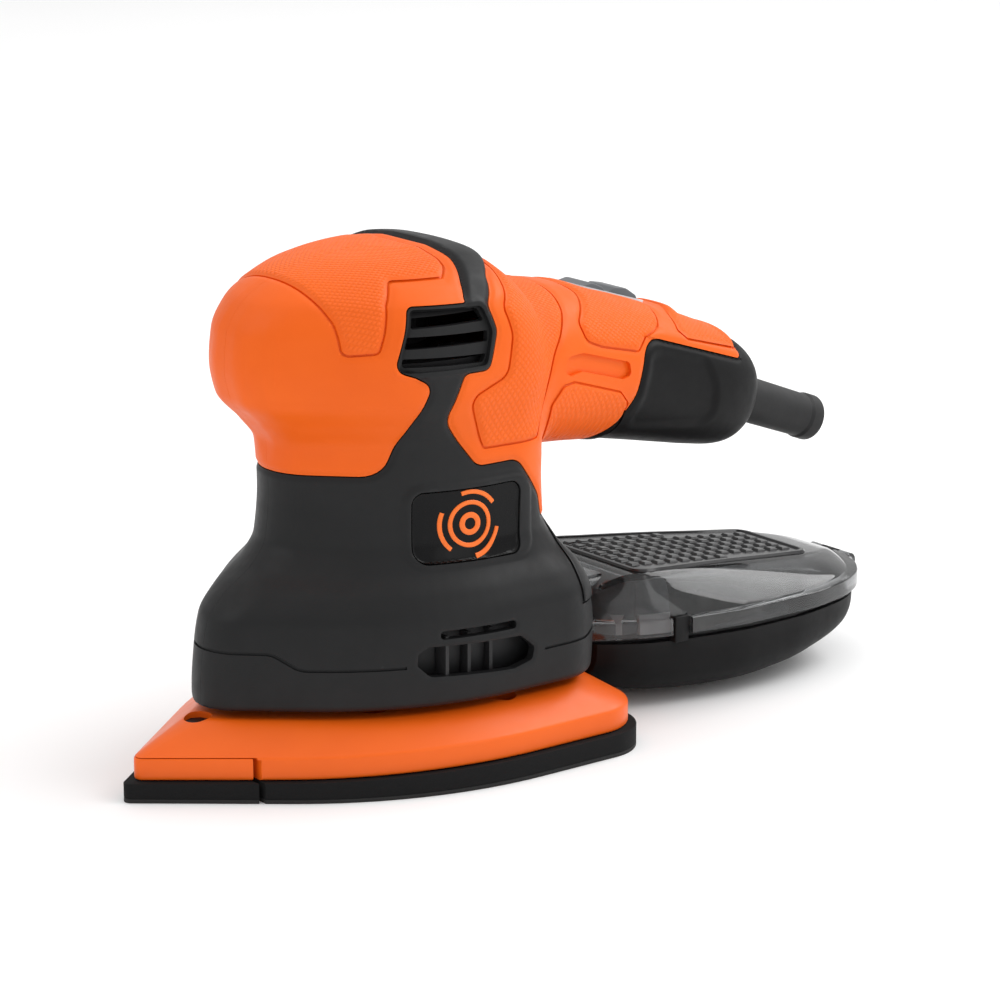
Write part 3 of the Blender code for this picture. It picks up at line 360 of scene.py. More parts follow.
def loft(rings):
    """Closed skin through rings of equal length, capped at both ends."""
    grid = np.array(rings, float)
    rows, count = grid.shape[:2]
    faces = [list(range(count))[::-1], list(range((rows - 1) * count, rows * count))]
    for j in range(rows - 1):
        for i in range(count):
            k = (i + 1) % count
            faces.append((j * count + i, j * count + k, (j + 1) * count + k, (j + 1) * count + i))
    return solid(grid.reshape(-1, 3), faces)


def ring_faces(rows, size, start=0):
    """Faces of a closed tube of rings of equal size, whose last ring joins its first."""
    faces = []
    for k in range(rows):
        for i in range(size):
            a, b, j = start + k * size, start + ((k + 1) % rows) * size, (i + 1) % size
            faces.append((a + i, b + i, b + j, a + j))
    return faces


def closed_tube(rings):
    return solid([p for ring in rings for p in ring], ring_faces(len(rings), len(rings[0])))


def prism(outline, low, high, axis="z"):
    """An outline carried along an axis; seen along x it is (y, z), and along y it is (x, z)."""
    order = {"x": (2, 0, 1), "y": (0, 2, 1), "z": (0, 1, 2)}[axis]
    return loft([[tuple((a, b, c)[i] for i in order) for a, b in outline] for c in (low, high)])


def box(low, high):
    outline = [(low[0], low[1]), (high[0], low[1]), (high[0], high[1]), (low[0], high[1])]
    return prism(outline, low[2], high[2])


def sided_box(side, near, far, low, high):
    """A box on one side of the seam, from near to far and between two (y, z) corners."""
    left, right = sorted((near * side, far * side))
    return box((left, *low), (right, *high))


def sided_prism(side, near, outline):
    """A (y, z) outline carried out to one side of the seam."""
    return prism(outline, *sorted((near * side, FAR * side)), "x")


def cylinder(radius, low, high, x=0.0, y=0.0, count=32, axis="z"):
    turns = [2 * math.pi * k / count for k in range(count)]
    return prism([(x + radius * math.cos(a), y + radius * math.sin(a)) for a in turns], low, high, axis)


def turned(profile, count=48, x=0.0, y=0.0):
    """Revolve a closed (radius, height) profile about a vertical axis."""
    rings = []
    for k in range(count):
        angle = 2 * math.pi * k / count
        rings.append([(x + r * math.cos(angle), y + r * math.sin(angle), z) for r, z in profile])
    return closed_tube(rings)


def evaluated(item):
    """Apply the modifiers of an object to its mesh."""
    bpy.context.view_layer.update()
    graph = bpy.context.evaluated_depsgraph_get()
    mesh = bpy.data.meshes.new_from_object(item.evaluated_get(graph))
    item.modifiers.clear()
    old = item.data
    item.data = mesh
    bpy.data.meshes.remove(old)
    return item


def combine(item, other, operation):
    step = item.modifiers.new("shape", "BOOLEAN")
    step.operation = operation
    step.solver = "MANIFOLD"
    step.object = other
    evaluated(item)
    bpy.data.objects.remove(other)
    return item


def cut(item, *others):
    for other in others:
        combine(item, other, "DIFFERENCE")
    return item


def union(item, *others):
    for other in others:
        combine(item, other, "UNION")
    return item


def common(item, other):
    return combine(item, other, "INTERSECT")


def copy(item):
    twin = item.copy()
    twin.data = item.data.copy()
    bpy.context.scene.collection.objects.link(twin)
    return twin


def mirrored(item):
    twin = copy(item)
    twin.data.transform(Matrix.Diagonal((-1, 1, 1, 1)))
    twin.data.flip_normals()
    return twin


def softened(item, width, angle=35, segments=3):
    """Round the hard edges of a mesh."""
    step = item.modifiers.new("edges", "BEVEL")
    step.width = width * MM
    step.segments = segments
    step.limit_method = "ANGLE"
    step.angle_limit = math.radians(angle)
    step.miter_outer = "MITER_ARC"
    step.harden_normals = False
    return evaluated(item)


def piece(item, name, body, material, stands_for=(), smooth=32):
    """Name a finished mesh, give it its finish and put it on its body."""
    item.name = name
    item.data.name = name
    item.data.materials.clear()
    item.data.materials.append(material)
    item.data.shade_smooth()
    item.data.set_sharp_from_angle(angle=math.radians(smooth))
    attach(item, body)
    if stands_for:
        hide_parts(*stands_for)
    return item


def points_of(item):
    flat = np.empty(len(item.data.vertices) * 3, np.float32)
    item.data.vertices.foreach_get("co", flat)
    return flat.reshape(-1, 3).astype(float) / MM


def set_points(item, points):
    item.data.vertices.foreach_set("co", (points * MM).astype(np.float32).ravel())
    item.data.update()


def normals_of(item):
    flat = np.empty(len(item.data.vertices) * 3, np.float32)
    item.data.vertex_normals.foreach_get("vector", flat)
    return flat.reshape(-1, 3).astype(float)


def relax(points, edges, weight, rounds, back=0.0):
    """Move each point towards the mean of its neighbours, by its weight."""
    count = len(points)
    a, b = edges[:, 0], edges[:, 1]
    degree = np.maximum(np.bincount(a, minlength=count) + np.bincount(b, minlength=count), 1)
    for k in range(rounds):
        share = weight if k % 2 == 0 or not back else -back * weight
        mean = np.empty_like(points)
        for c in range(3):
            mean[:, c] = np.bincount(a, points[b, c], count) + np.bincount(b, points[a, c], count)
        mean /= degree[:, None]
        points = points + share[:, None] * (mean - points)
    return points


def edges_of(item):
    flat = np.empty(len(item.data.edges) * 2, np.int32)
    item.data.edges.foreach_get("vertices", flat)
    return flat.reshape(-1, 2)


# ---------------------------------------------------------------- housing

def inset(rings, depth):
    grid = np.array(rings, float)
    along = np.gradient(grid, axis=0)
    about = np.roll(grid, -1, axis=1) - np.roll(grid, 1, axis=1)
    normal = np.cross(about, along)
    normal /= np.maximum(np.linalg.norm(normal, axis=2, keepdims=True), 1e-9)
    centre = grid.mean(axis=1, keepdims=True)
    side = np.sign(((grid - centre) * normal).sum(axis=(1, 2)))
    return grid - depth * normal * side[:, None, None]


def body_rings(levels, count, depth=0.0):
    rings = []
    strips = np.interp(levels, *np.array(PROW_STRIP).T)
    for z, row, strip in zip(levels, smooth_table(BODY_SECTIONS, levels), strips):
        ring = around(drop_outline(*row), count)
        front = ring[:count // 4]
        limit = np.interp(strip, front[:, 0], front[:, 1])
        nose = (np.abs(ring[:, 0]) < strip) & (ring[:, 1] < 0)
        ring[nose, 1] = np.maximum(ring[nose, 1], limit)
        rings.append(np.column_stack([ring, np.full(count, z)]))
    return inset(rings, depth) if depth else np.array(rings)


def handle_rings(stations, count, depth=0.0):
    rings = []
    angle = 2 * math.pi * np.arange(count) / count
    for y, row in zip(stations, smooth_table(HANDLE_SECTIONS, stations)):
        half, top, bottom, upper, lower, lean = row
        power = 2 / np.where(np.sin(angle) > 0, upper, lower)
        x = half * np.sign(np.cos(angle)) * np.abs(np.cos(angle)) ** power
        rise = (top - bottom) / 2 * np.sign(np.sin(angle)) * np.abs(np.sin(angle)) ** power
        rings.append(np.column_stack([x, y + lean * rise, (top + bottom) / 2 + rise]))
    return inset(rings, depth) if depth else np.array(rings)


def body_form():
    low = np.linspace(BODY_FOOT, DOME_START, 130)
    high = HEAD_TOP - DOME_RISE * (1 - np.linspace(0, 1, 26)[1:]) ** 1.6
    return loft(body_rings(np.concatenate([low, high]), 240))


def handle_form():
    end = HANDLE_END - 8 * (1 - np.linspace(0, 1, 16)[1:]) ** 1.7
    return loft(handle_rings(np.concatenate([np.linspace(HANDLE_START, 108, 70), end]), 112))


def tree_of(item):
    work = bmesh.new()
    work.from_mesh(item.data)
    tree = BVHTree.FromBMesh(work)
    work.free()
    return tree


def near_seam(points, one, two, reach):
    """How close each point is to where two forms meet: 1 on the line, 0 past reach."""
    weight = np.zeros(len(points))
    zone = np.flatnonzero((points[:, 1] > 8) & (points[:, 1] < 72) & (points[:, 2] > 52))
    for i in zone:
        place = Vector(points[i] * MM)
        far = max(one.find_nearest(place)[3], two.find_nearest(place)[3]) / MM
        weight[i] = max(0.0, 1 - far / reach)
    return weight


def strap_outline():
    """The black strap over the head, in side view."""
    front = [p for p in rounded_line(LOBE_EDGE) if p[1] > 119]
    rear = [p for p in rounded_line(HANDLE_EDGE) if p[1] > 119]
    return front + rear[::-1]


def line_reach(side):
    """0 on the parting lines, 1 a little away from them."""
    distances = [line_distance(side, rounded_line(edge)) for edge in (LOBE_EDGE, HANDLE_EDGE)]
    return ease(np.minimum(*distances), 0.0, 0.8)


def relief(points):
    """Height of the moulded detail above the plain form, at each point of the housing."""
    side = points[:, 1:]
    height = np.zeros(len(points))
    for edge in (LOBE_EDGE, HANDLE_EDGE, CAP_EDGE):
        height -= 0.45 * (1 - ease(line_distance(side, rounded_line(edge)), 0.0, 1.5))
    across = np.abs(points[:, 0])
    for outline in RAISED_PANELS:
        depth = depth_inside(side, rounded(outline))
        height -= 0.35 * np.exp(-(depth / 0.9) ** 2)
        height += 0.3 * ease(depth, 0.3, 1.8)
    strap = inside(side, strap_outline()) * line_reach(side)
    height += 0.8 * strap * ease(side[:, 1], 121, 125)
    depth = depth_inside(side, rounded(PALM_PANEL))
    height += 0.6 * ease(depth, -0.5, 0.5) * (side[:, 0] < 61)
    depth = depth_inside(side, rounded(CAP_PANEL))
    height -= 0.7 * ease(depth, -1.2, 1.6) * ease(across, 6, 12)

    depth = depth_inside(side, rounded(BADGE_FRAME))
    height += 0.7 * ease(depth, -0.9, 0.9)
    depth = depth_inside(side, rounded(BADGE_PLATE))
    height -= 0.55 * ease(depth, -0.3, 0.35)
    depth = depth_inside(side, rounded(VENT_RECESS))
    height += 0.5 * np.exp(-((depth + 0.9) / 0.8) ** 2)
    for outline in (SKIRT_SLOT, SKIRT_VENT):
        height -= 0.4 * ease(depth_inside(side, rounded(outline)), -0.8, 0.2)

    bump = np.exp(-((side[:, 0] - 88.0) / 2.3) ** 2) * (1 - ease(across, 5, 13)) * (side[:, 1] > 92)
    height += 1.2 * bump
    ledge = line_distance(side, rounded_line(CAP_EDGE))
    orange_side = (side[:, 1] > np.interp(side[:, 0], [50, 68.9, 105.5, 108], [200, 100.5, 88.5, 110]))
    height += 0.45 * (1 - ease(ledge, 2.0, 3.6)) * orange_side * (side[:, 0] > 62)
    return height


def housing_form():
    """The whole outer form of the housing as one solid, with its moulded detail."""
    body, handle = body_form(), handle_form()
    trees = tree_of(body), tree_of(handle)
    outer = union(body, handle)
    step = outer.modifiers.new("even", "REMESH")
    step.mode = "VOXEL"
    step.voxel_size = SHELL_VOXEL * MM
    evaluated(outer)
    points, edges = points_of(outer), edges_of(outer)
    points = relax(points, edges, np.full(len(points), 0.5), 8, back=0.9)
    weight = near_seam(points, *trees, reach=7.0)
    points = relax(points, edges, 0.6 * weight ** 0.7, 260)
    points = relax(points, edges, np.full(len(points), 0.5), 6, back=0.9)
    set_points(outer, points)
    height = relief(points)
    set_points(outer, points + normals_of(outer) * height[:, None])
    return outer


def hollow_form():
    """The room inside the housing, open below, with a thicker roof over the head."""
    rings = body_rings(np.linspace(BODY_FOOT, HEAD_TOP, 50), 72, WALL)
    rings[0][:, 2] = 10
    hollow = union(loft(rings), loft(handle_rings(np.linspace(HANDLE_START, HANDLE_END, 40), 48, WALL)))
    points = points_of(hollow)
    points[:, 2] -= 1.2 * ease(points[:, 2], 106, 123)
    set_points(hollow, points)
    return hollow


def side_region(corners):
    return prism(corners, -FAR, FAR, "x")


def lobe_region():
    return side_region(shifted(rounded_line(LOBE_EDGE), PARTING_GAP) + [(-90, 145)])


def base_region():
    front = shifted(rounded_line(LOBE_EDGE), -PARTING_GAP)
    rear = shifted(rounded_line(HANDLE_EDGE), PARTING_GAP)
    return side_region(front + rear[::-1] + [(75, 0), (-90, 0)])


def handle_region():
    line = shifted(rounded_line(HANDLE_EDGE), -PARTING_GAP)
    cap = [p for p in shifted(rounded_line(CAP_EDGE), PARTING_GAP) if p[1] > 60.5]
    return side_region(line + [(108.2, 145)] + cap[::-1] + [(55.7, 60.35)])


def cap_region():
    return side_region(shifted(rounded_line(CAP_EDGE), -PARTING_GAP) + [(140, 110), (140, 45)])


def half(item, side):
    return common(copy(item), sided_box(side, SEAM_GAP, 70, (-110, 0), (190, 160)))


def seam_lip(item, whole, core, side):
    """The right half's lip crosses the seam inside the wall, into a rebate in the left half."""
    if side == 1:
        return union(item, common(common(copy(whole), copy(core)), box((-0.7, -110, 0), (0.2, 190, 160))))
    return cut(item, common(copy(core), box((-0.75, -110, 0), (0.2, 190, 160))))


def screw_wells(item, posts, places):
    """Let the clamshell screws into a left half, down posts from its outer face."""
    for y, z in places:
        union(item, common(cylinder(4.6, -45, -1, y, z, 32, "x"), copy(posts)))
        cut(item, cylinder(3.1, -60, -8.1, y, z, 32, "x"), cylinder(1.9, -9, 5, y, z, 20, "x"))
    return item


def on_handle(item):
    """Move a shape built flat at the origin onto the sloping top of the handle."""
    y, z = ROCKER_CENTRE
    item.data.transform(Matrix.Translation(Vector((0, y, z)) * MM) @ Matrix.Rotation(ROCKER_SLOPE, 4, "X"))
    return item


def bezel_outline(grow=0.0):
    return rounded([(-7.5 - grow, -12.5 - grow, 4), (7.5 + grow, -12.5 - grow, 4),
                    (7.5 + grow, 12.5 + grow, 4), (-7.5 - grow, 12.5 + grow, 4)], 8)


def base_openings():
    """The vents of the head and the skirt on both sides, and the exhaust port."""
    items = [sided_prism(1, 20, rounded(outline)) for outline in VENT_SLOTS + [SKIRT_SLOT, SKIRT_VENT]]
    items += [mirrored(item) for item in items]
    items.append(box((-14.3, 40, PORT_Z - 8.3), (14.3, 60, PORT_Z + 8.3)))
    return items


def grown(line, distance):
    """Move a closed outline outwards by a distance."""
    points = np.array(line, float)
    before = points - np.roll(points, 1, axis=0)
    after = np.roll(before, -1, axis=0)
    before /= np.maximum(np.linalg.norm(before, axis=1, keepdims=True), 1e-9)
    after /= np.maximum(np.linalg.norm(after, axis=1, keepdims=True), 1e-9)
    mean = before + after
    mean /= np.maximum(np.linalg.norm(mean, axis=1, keepdims=True), 1e-9)
    stretch = 1 / np.maximum((mean * before).sum(axis=1, keepdims=True), 0.5)
    area = (points[:, 0] * np.roll(points[:, 1], -1) - np.roll(points[:, 0], -1) * points[:, 1]).sum()
    normal = np.column_stack([mean[:, 1], -mean[:, 0]]) * math.copysign(1, area)
    return [tuple(p) for p in points + normal * stretch * distance]


def groove_rings():
    """Bands through the housing, along the borders of its grip panels and the grooves of its skirt."""
    points, faces = [], []
    for corners in GRIP_PANELS:
        line = rounded(corners)
        faces += ring_faces(len(line), 4, len(points))
        for (a, b), (c, d) in zip(grown(line, 0.3), grown(line, -0.3)):
            points += [(-FAR, a, b), (-FAR, c, d), (FAR, c, d), (FAR, a, b)]
    for corners in SKIRT_GROOVES:
        line = rounded_line(corners)
        band = shifted(line, 0.4) + shifted(line, -0.4)[::-1]
        start, count = len(points), len(band)
        points += [(x, a, b) for x in (-FAR, FAR) for a, b in band]
        faces.append(list(range(start, start + count))[::-1])
        faces.append(list(range(start + count, start + 2 * count)))
        for k in range(count):
            j = (k + 1) % count
            faces.append((start + k, start + j, start + count + j, start + count + k))
    return solid(points, faces)


def sunk(outer, depth):
    """The housing's form with its skin moved inwards."""
    twin = copy(outer)
    set_points(twin, points_of(twin) - normals_of(twin) * depth)
    return twin


def carve(outer, shell):
    """Sharp grooves and pockets in the housing's skin."""
    cut(shell, cut(groove_rings(), sunk(outer, 0.55)))
    for corners, depth in ((VENT_RECESS, 1.2), (FINGER_RECESS, 1.1)):
        for side in (1, -1):
            cut(shell, cut(sided_prism(side, 12, rounded(corners)), sunk(outer, depth)))
    return shell


def texture_share(points):
    """1 where the housing carries the fine grip texture, 0 elsewhere."""
    side = points[:, 1:]
    share = np.zeros(len(points))
    for outline in GRIP_PANELS:
        share = np.maximum(share, ease(depth_inside(side, rounded(outline)), 0.7, 1.3))
    return share


def stamp_grip(item):
    """Store where a piece carries the grip texture, for its paint."""
    layer = item.data.attributes.new("grip", "FLOAT", "POINT")
    layer.data.foreach_set("value", texture_share(points_of(item)).astype(np.float32))


def build_housing(paint):
    """The clamshell's halves, the end cap and the badges, all cut from one form."""
    outer = housing_form()
    shell = carve(outer, cut(copy(outer), hollow_form()))
    core = sunk(outer, 0.9)
    plan = (
        ("base_shell", base_region, paint["black"], "housing_black", BASE_SCREWS),
        ("lobe_cover", lobe_region, paint["orange"], "housing_orange", LOBE_SCREWS),
        ("handle_shell", handle_region, paint["orange"], "housing_orange", HANDLE_SCREWS),
    )
    for name, region, material, slot, screws in plan:
        whole = common(copy(shell), region())
        if name == "base_shell":
            cut(whole, *base_openings())
            for side in (1, -1):
                pocket = sided_prism(side, 20, grown(rounded(BADGE_PLATE), 0.25))
                cut(whole, cut(pocket, badge_floor(1.6)))
        if name == "handle_shell":
            cut(whole, on_handle(prism(bezel_outline(0.25), -9, 14)))
        for side, word in ((1, "right"), (-1, "left")):
            item = seam_lip(half(whole, side), whole, core, side)
            if side == -1:
                screw_wells(item, outer, screws)
            stamp_grip(item)
            piece(item, "%s_%s_skin" % (name, word), "housing", material, ["%s_%s" % (name, word)])
        bpy.data.objects.remove(whole)
    build_cap(shell, paint)
    build_badges(outer, paint)
    for spare in (outer, shell, core):
        bpy.data.objects.remove(spare)


def build_skirt_inside(paint):
    """The dust shroud behind the skirt's slots, with its ribs, and the plate above the platen."""
    wall = loft(body_rings(np.linspace(23.6, 38.4, 12), 96, 6.0))
    hollow = loft(body_rings(np.linspace(22.0, 40.0, 12), 96, 7.4))
    cut(wall, hollow, box((-FAR, 22, 0), (FAR, 60, 60)), box((-FAR, -100, 0), (FAR, -24, 60)))
    for side, word in ((1, "right"), (-1, "left")):
        item = common(copy(wall), sided_box(side, 1, FAR, (-60, 0), (60, 60)))
        for y in (-8.2, -1.4, 5.4):
            union(item, sided_box(side, 33.2, 37.4, (y - 0.5, 24.5), (y + 0.5, 38.2)))
        piece(item, "skirt_shroud_" + word, "housing", paint["inner"])
    bpy.data.objects.remove(wall)
    plate = loft(body_rings([22.0, 23.3], 96, 3.4))
    cut(plate, cylinder(8.5, 0, 40, 0, 0, 48))
    for x, y in LEG_PLACES:
        cut(plate, cylinder(6.0, 0, 40, x, y - 1, 32))
    cut(plate, box((-14.8, 38, 0), (14.8, 60, 60)))
    softened(plate, 0.25, 50, 2)
    piece(plate, "skirt_plate", "housing", paint["inner"])


def build_roof_rib(paint):
    """The rib on the seam under the head's roof, and the band that backs the strap's two edges."""
    hollow = hollow_form()
    band = cut(copy(hollow), sunk(hollow, 0.8))
    common(band, prism(grown(strap_outline(), 1.8), -40, 40, "x"))
    common(band, box((-40, -60, 116), (40, 60, 130)))
    rib = box((-2.4, -48, 113.7), (-1.0, 34, 128))
    union(rib, box((-2.4, -48, 106.9), (-1.0, -12.2, 120)), box((-2.4, 12.2, 106.9), (-1.0, 34, 120)))
    common(rib, hollow)
    piece(union(rib, band), "roof_rib", "housing", paint["inner"])


def build_cap(shell, paint):
    cap = common(copy(shell), cap_region())
    cut(cap, along_cord(cylinder(6.6, -14, 20, count=40)))
    piece(cap, "handle_end_cap_skin", "housing", paint["soft_black"], ["handle_end_cap"])


def along_cord(item):
    """Lay an upright shape along the cord's line at the end of the handle."""
    run = Vector((0, math.cos(CORD_SLOPE), math.sin(CORD_SLOPE)))
    turn = Vector((0, 0, 1)).rotation_difference(run).to_matrix().to_4x4()
    item.data.transform(Matrix.Translation(Vector((0, *CORD_START)) * MM) @ turn)
    return item


def badge_floor(depth):
    """The column's form, sunk to the floor of the badge's pocket."""
    return loft(body_rings(np.linspace(45, 85, 30), 120, depth))


def badge_arc(radius, angles):
    y, z = BADGE_CENTRE
    return [(y + radius * math.cos(a), z + radius * math.sin(a)) for a in angles]


def build_badges(outer, paint):
    """The plain badge plates with their mark of rings and arcs."""
    plate = common(sided_prism(1, 20, grown(rounded(BADGE_PLATE), -0.1)), copy(outer))
    cut(plate, badge_floor(1.1))
    tree = tree_of(plate)
    ring, disc = (badge_arc(radius, np.linspace(0, 2 * math.pi, steps)[:-1])
                  for radius, steps in ((5.4, 65), (2.2, 49)))
    sign = raised_band(ring, 0.55, tree, closed=True)
    arcs = [raised_band(badge_arc(8.1, np.linspace(turn, turn + 1.25, 22)), 0.55, tree, closed=False)
            for turn in (0.6, 2.7, 4.8)]
    union(sign, *arcs, raised_band(disc, 0.7, tree, closed=True))
    for item, name, material, slot in (
        (plate, "badge_plate", paint["badge"], "housing_black"),
        (sign, "badge_mark", paint["accent"], "housing_orange"),
    ):
        twin = mirrored(item)
        for shape, word in ((item, "right"), (twin, "left")):
            stands_for = ["badge_plate_" + word] if item is plate else ()
            piece(shape, "%s_%s_skin" % (name, word), "housing", material, stands_for)


def raised_band(line, half_width, tree, closed, rise=0.3):
    """A narrow band standing on the badge plate along a (y, z) line."""
    points = np.array(line, float)
    if closed:
        run = np.roll(points, -1, axis=0) - np.roll(points, 1, axis=0)
    else:
        run = np.gradient(points, axis=0)
    run /= np.linalg.norm(run, axis=1, keepdims=True)
    normal = np.column_stack([-run[:, 1], run[:, 0]])
    section = ((-1, -0.3), (-1, rise * 0.6), (-0.7, rise), (0.7, rise), (1, rise * 0.6), (1, -0.3))
    rings = []
    for centre, out in zip(points, normal):
        ring = []
        for across, lift in section:
            y, z = centre + out * across * half_width
            hit = tree.ray_cast(Vector((FAR, y, z)) * MM, Vector((-1, 0, 0)))[0]
            ring.append((hit.x / MM + lift, y, z))
        rings.append(ring)
    return closed_tube(rings) if closed else loft(rings)


# ---------------------------------------------------------------- switch and cord sleeve

def build_switch(paint):
    frame_ring = prism(bezel_outline(), -5.0, 4.5)
    hole = rounded([(-5.6, -10.6, 1.2), (5.6, -10.6, 1.2), (5.6, 10.6, 1.2), (-5.6, 10.6, 1.2)], 6)
    cut(frame_ring, prism(hole, -6, 8))
    softened(frame_ring, 0.5, 50)
    piece(on_handle(frame_ring), "switch_bezel_skin", "housing", paint["silver"],
          ["switch_bezel"])

    profile = [(-10.2, 0.2, 0.4), (-10.0, 3.4, 1.5), (-7.0, 5.3, 3.0), (-3.0, 5.2, 2.2), (-0.9, 4.1, 1.4),
               (0.9, 6.2, 1.6), (5.0, 7.0, 4.0), (9.7, 6.0, 1.6), (10.2, 0.2, 0.4), (0, -2.2, 2)]
    rocker = prism(rounded(profile, 10), -5.2, 5.2, "x")
    softened(rocker, 0.7, 50, 4)
    on_handle(rocker)
    y, z = ROCKER_CENTRE
    move = Matrix.Translation(Vector((0, y, z)) * MM)
    rocker.data.transform(move @ Matrix.Rotation(ROCKER_TILT, 4, "X") @ move.inverted())
    piece(rocker, "switch_rocker_skin", "rocker", paint["rocker"], ["switch_rocker"],
          smooth=40)


def build_sleeve(paint):
    profile = [(3.6, -6, 0), (8.0, -6, 0.4), (8.0, -2.3, 0.4), (6.3, -2.3, 0.3), (6.3, 1.0, 0.6),
               (6.2, 14, 0), (5.95, 34.2, 1.0), (6.35, 35.2, 0.6), (6.35, 39.2, 0.9), (3.6, 39.2, 0.5),
               (3.6, 37, 0)]
    sleeve = along_cord(turned(rounded_line(profile, 5), 64))
    piece(sleeve, "cord_strain_relief_skin", "housing", paint["rubber"],
          ["cord_strain_relief"])


# ---------------------------------------------------------------- platen

def before_seam(item, gap):
    """The part of a platen shape that belongs to the tip."""
    return common(item, box((-FAR, -100, -5), (FAR, TIP_SEAM_Y - gap, 60)))


def behind_seam(item, gap):
    return common(item, box((-FAR, TIP_SEAM_Y + gap, -5), (FAR, 80, 60)))


def with_holes(item, low=-2):
    return cut(item, *[cylinder(4.0, low, 40, x, y, 28) for x, y in DUST_HOLES])


def platen_form():
    wide = pad_outline(1.6)
    narrow = drop_outline(-62, 5, 36.5, -17, 100, 38, 12, 46, 16)
    levels = ((wide, 6.1), (wide, 11.9), (narrow, 18.0))
    return loft([[(x, y, z) for x, y in outline] for outline, z in levels])


def thinned(item):
    """Let the platen and its pad get a little thinner towards the tip."""
    points = points_of(item)
    share = np.clip((18.0 - points[:, 2]) / 6.0, 0, 1) * (points[:, 2] > 2)
    points[:, 2] -= 0.95 * share * ease(-points[:, 1], 0, 78)
    set_points(item, points)
    return item


def build_platen(paint):
    main = softened(platen_form(), 0.7, 12, 3)
    tip = before_seam(copy(main), 0.8)
    common(tip, box((-FAR, -100, 0), (FAR, 0, 11.7)))
    softened(tip, 0.25, 60, 2)
    cut(tip, cylinder(1.6, 0, 40, 0, TIP_SCREW_Y, 24))
    piece(thinned(tip), "detail_tip_skin", "platen", paint["platen"], ["detail_tip"])

    cut(main, box((-FAR, -100, 0), (FAR, TIP_SEAM_Y + 0.15, 11.95)))
    cut(main, box((-FAR, TIP_SEAM_Y - 0.1, 0), (FAR, TIP_SEAM_Y + 0.8, 11.4)))
    cut(main, cylinder(11.0, 13.2, 30, 0, 1, 48), cylinder(6.4, 0, 30, 0, 1, 40))
    boss = turned([(9.8, 10), (13.0, 10), (13.0, 21.4), (12.8, 21.6), (10.0, 21.6), (9.8, 21.4)], 48, 0, 1)
    union(main, boss)
    for x, y in LEG_PLACES:
        cut(main, cylinder(4.0, 14.0, 30, x, y, 28))
    with_holes(main, 0)
    cut(main, cylinder(1.6, 0, 40, 0, TIP_SCREW_Y, 24), cylinder(3.5, 14.8, 40, 0, TIP_SCREW_Y, 32))
    piece(thinned(main), "platen_skin", "platen", paint["platen"], ["platen"])


def pad_pair(low, high, edge):
    """A slab of the pad's outline, parted into its tip and its holed main piece."""
    slab = softened(prism(pad_outline(-0.3), low, high), edge, 60, 2)
    tip = before_seam(copy(slab), 0.7)
    return tip, with_holes(behind_seam(slab, 0.6))


def build_pads(paint):
    for shape, name in zip(pad_pair(1.04, 5.9, 0.2), ("tip_pad", "platen_pad")):
        piece(thinned(shape), name + "_skin", "platen", paint["foam"], [name])
    for shape, name in zip(pad_pair(0.0, 1.02, 0.1), ("tip_sheet", "sanding_sheet")):
        piece(shape, name + "_skin", "platen", paint["grit"], [name])


# ---------------------------------------------------------------- dust canister

def pulled_in(stations, depth):
    """Stations whose two ends are moved inwards."""
    moved = np.array(stations, float)
    moved[0] += depth
    moved[-1] -= depth
    return moved


def bowl_rings(stations, depth, count=56):
    """Arches of the bowl, hanging from its top edge."""
    rings = []
    angle = math.pi * np.arange(count + 1) / count
    c, s = np.cos(angle), np.sin(angle)
    rows = smooth_table(BOWL_SECTIONS, stations)
    for y, (half_width, height, power) in zip(pulled_in(stations, depth), rows):
        rise = height - BOWL_TOP + depth
        reach = max(half_width - depth, 0.8)
        x = reach * np.sign(c) * np.abs(c) ** (2 / power)
        z = BOWL_TOP + rise * np.abs(s) ** (2 / power)
        rings.append(np.column_stack([x, np.full(count + 1, y), z]))
    return np.array(rings)


def cover_rings(stations, depth, count=14):
    """Rings of the cover: a flat top with convex shoulders down to the flange."""
    rings = []
    theta = np.linspace(0, math.pi / 2, count)
    rows = smooth_table(COVER_SECTIONS, stations)
    for y, (half_width, height, flat) in zip(pulled_in(stations, depth), rows):
        reach = max(half_width - depth, 1.0)
        flat = min(flat, reach - 0.4)
        x = flat + (reach - flat) * np.cos(theta) ** 1.5
        z = COVER_FLOOR + (height - depth - COVER_FLOOR) * np.sin(theta) ** 1.5
        top = np.linspace(flat, -flat, 12)[1:-1]
        across = np.concatenate([x, top, -x[::-1]])
        up = np.concatenate([z, np.full(len(top), z[-1]), z[::-1]])
        rings.append(np.column_stack([across, np.full(len(across), y), up]))
    return np.array(rings)


def floored(rings, floor):
    """Carry the flat side of a dome past the opening that it cuts."""
    out = []
    for ring in rings:
        first, last = ring[0].copy(), ring[-1].copy()
        first[2] = last[2] = floor
        out.append(np.vstack([first, ring, last]))
    return np.array(out)


def spread(low, high, count):
    """Stations that crowd towards both ends."""
    t = np.linspace(-1, 1, count)
    t = np.sign(t) * (1 - (1 - np.abs(t)) ** 1.4)
    return low + (high - low) * (t + 1) / 2


def flange_outline(inset_by=0.0, count=70):
    table = np.array(FLANGE_PLAN, float)
    stations = spread(table[0, 0] + inset_by, table[-1, 0] - inset_by, count)
    half_width = smooth_table(FLANGE_PLAN, stations)[:, 0] - inset_by
    right = list(zip(half_width, stations))
    return right + [(-x, y) for x, y in right[::-1]]


def panel_half_width(y):
    return np.interp(y, [70, 134], [20.2, 13.2])


def ground_under(tree, x, y):
    """Height of the cover's top under a point."""
    return tree.ray_cast(Vector((x, y, 60)) * MM, Vector((0, 0, -1)))[0].z / MM


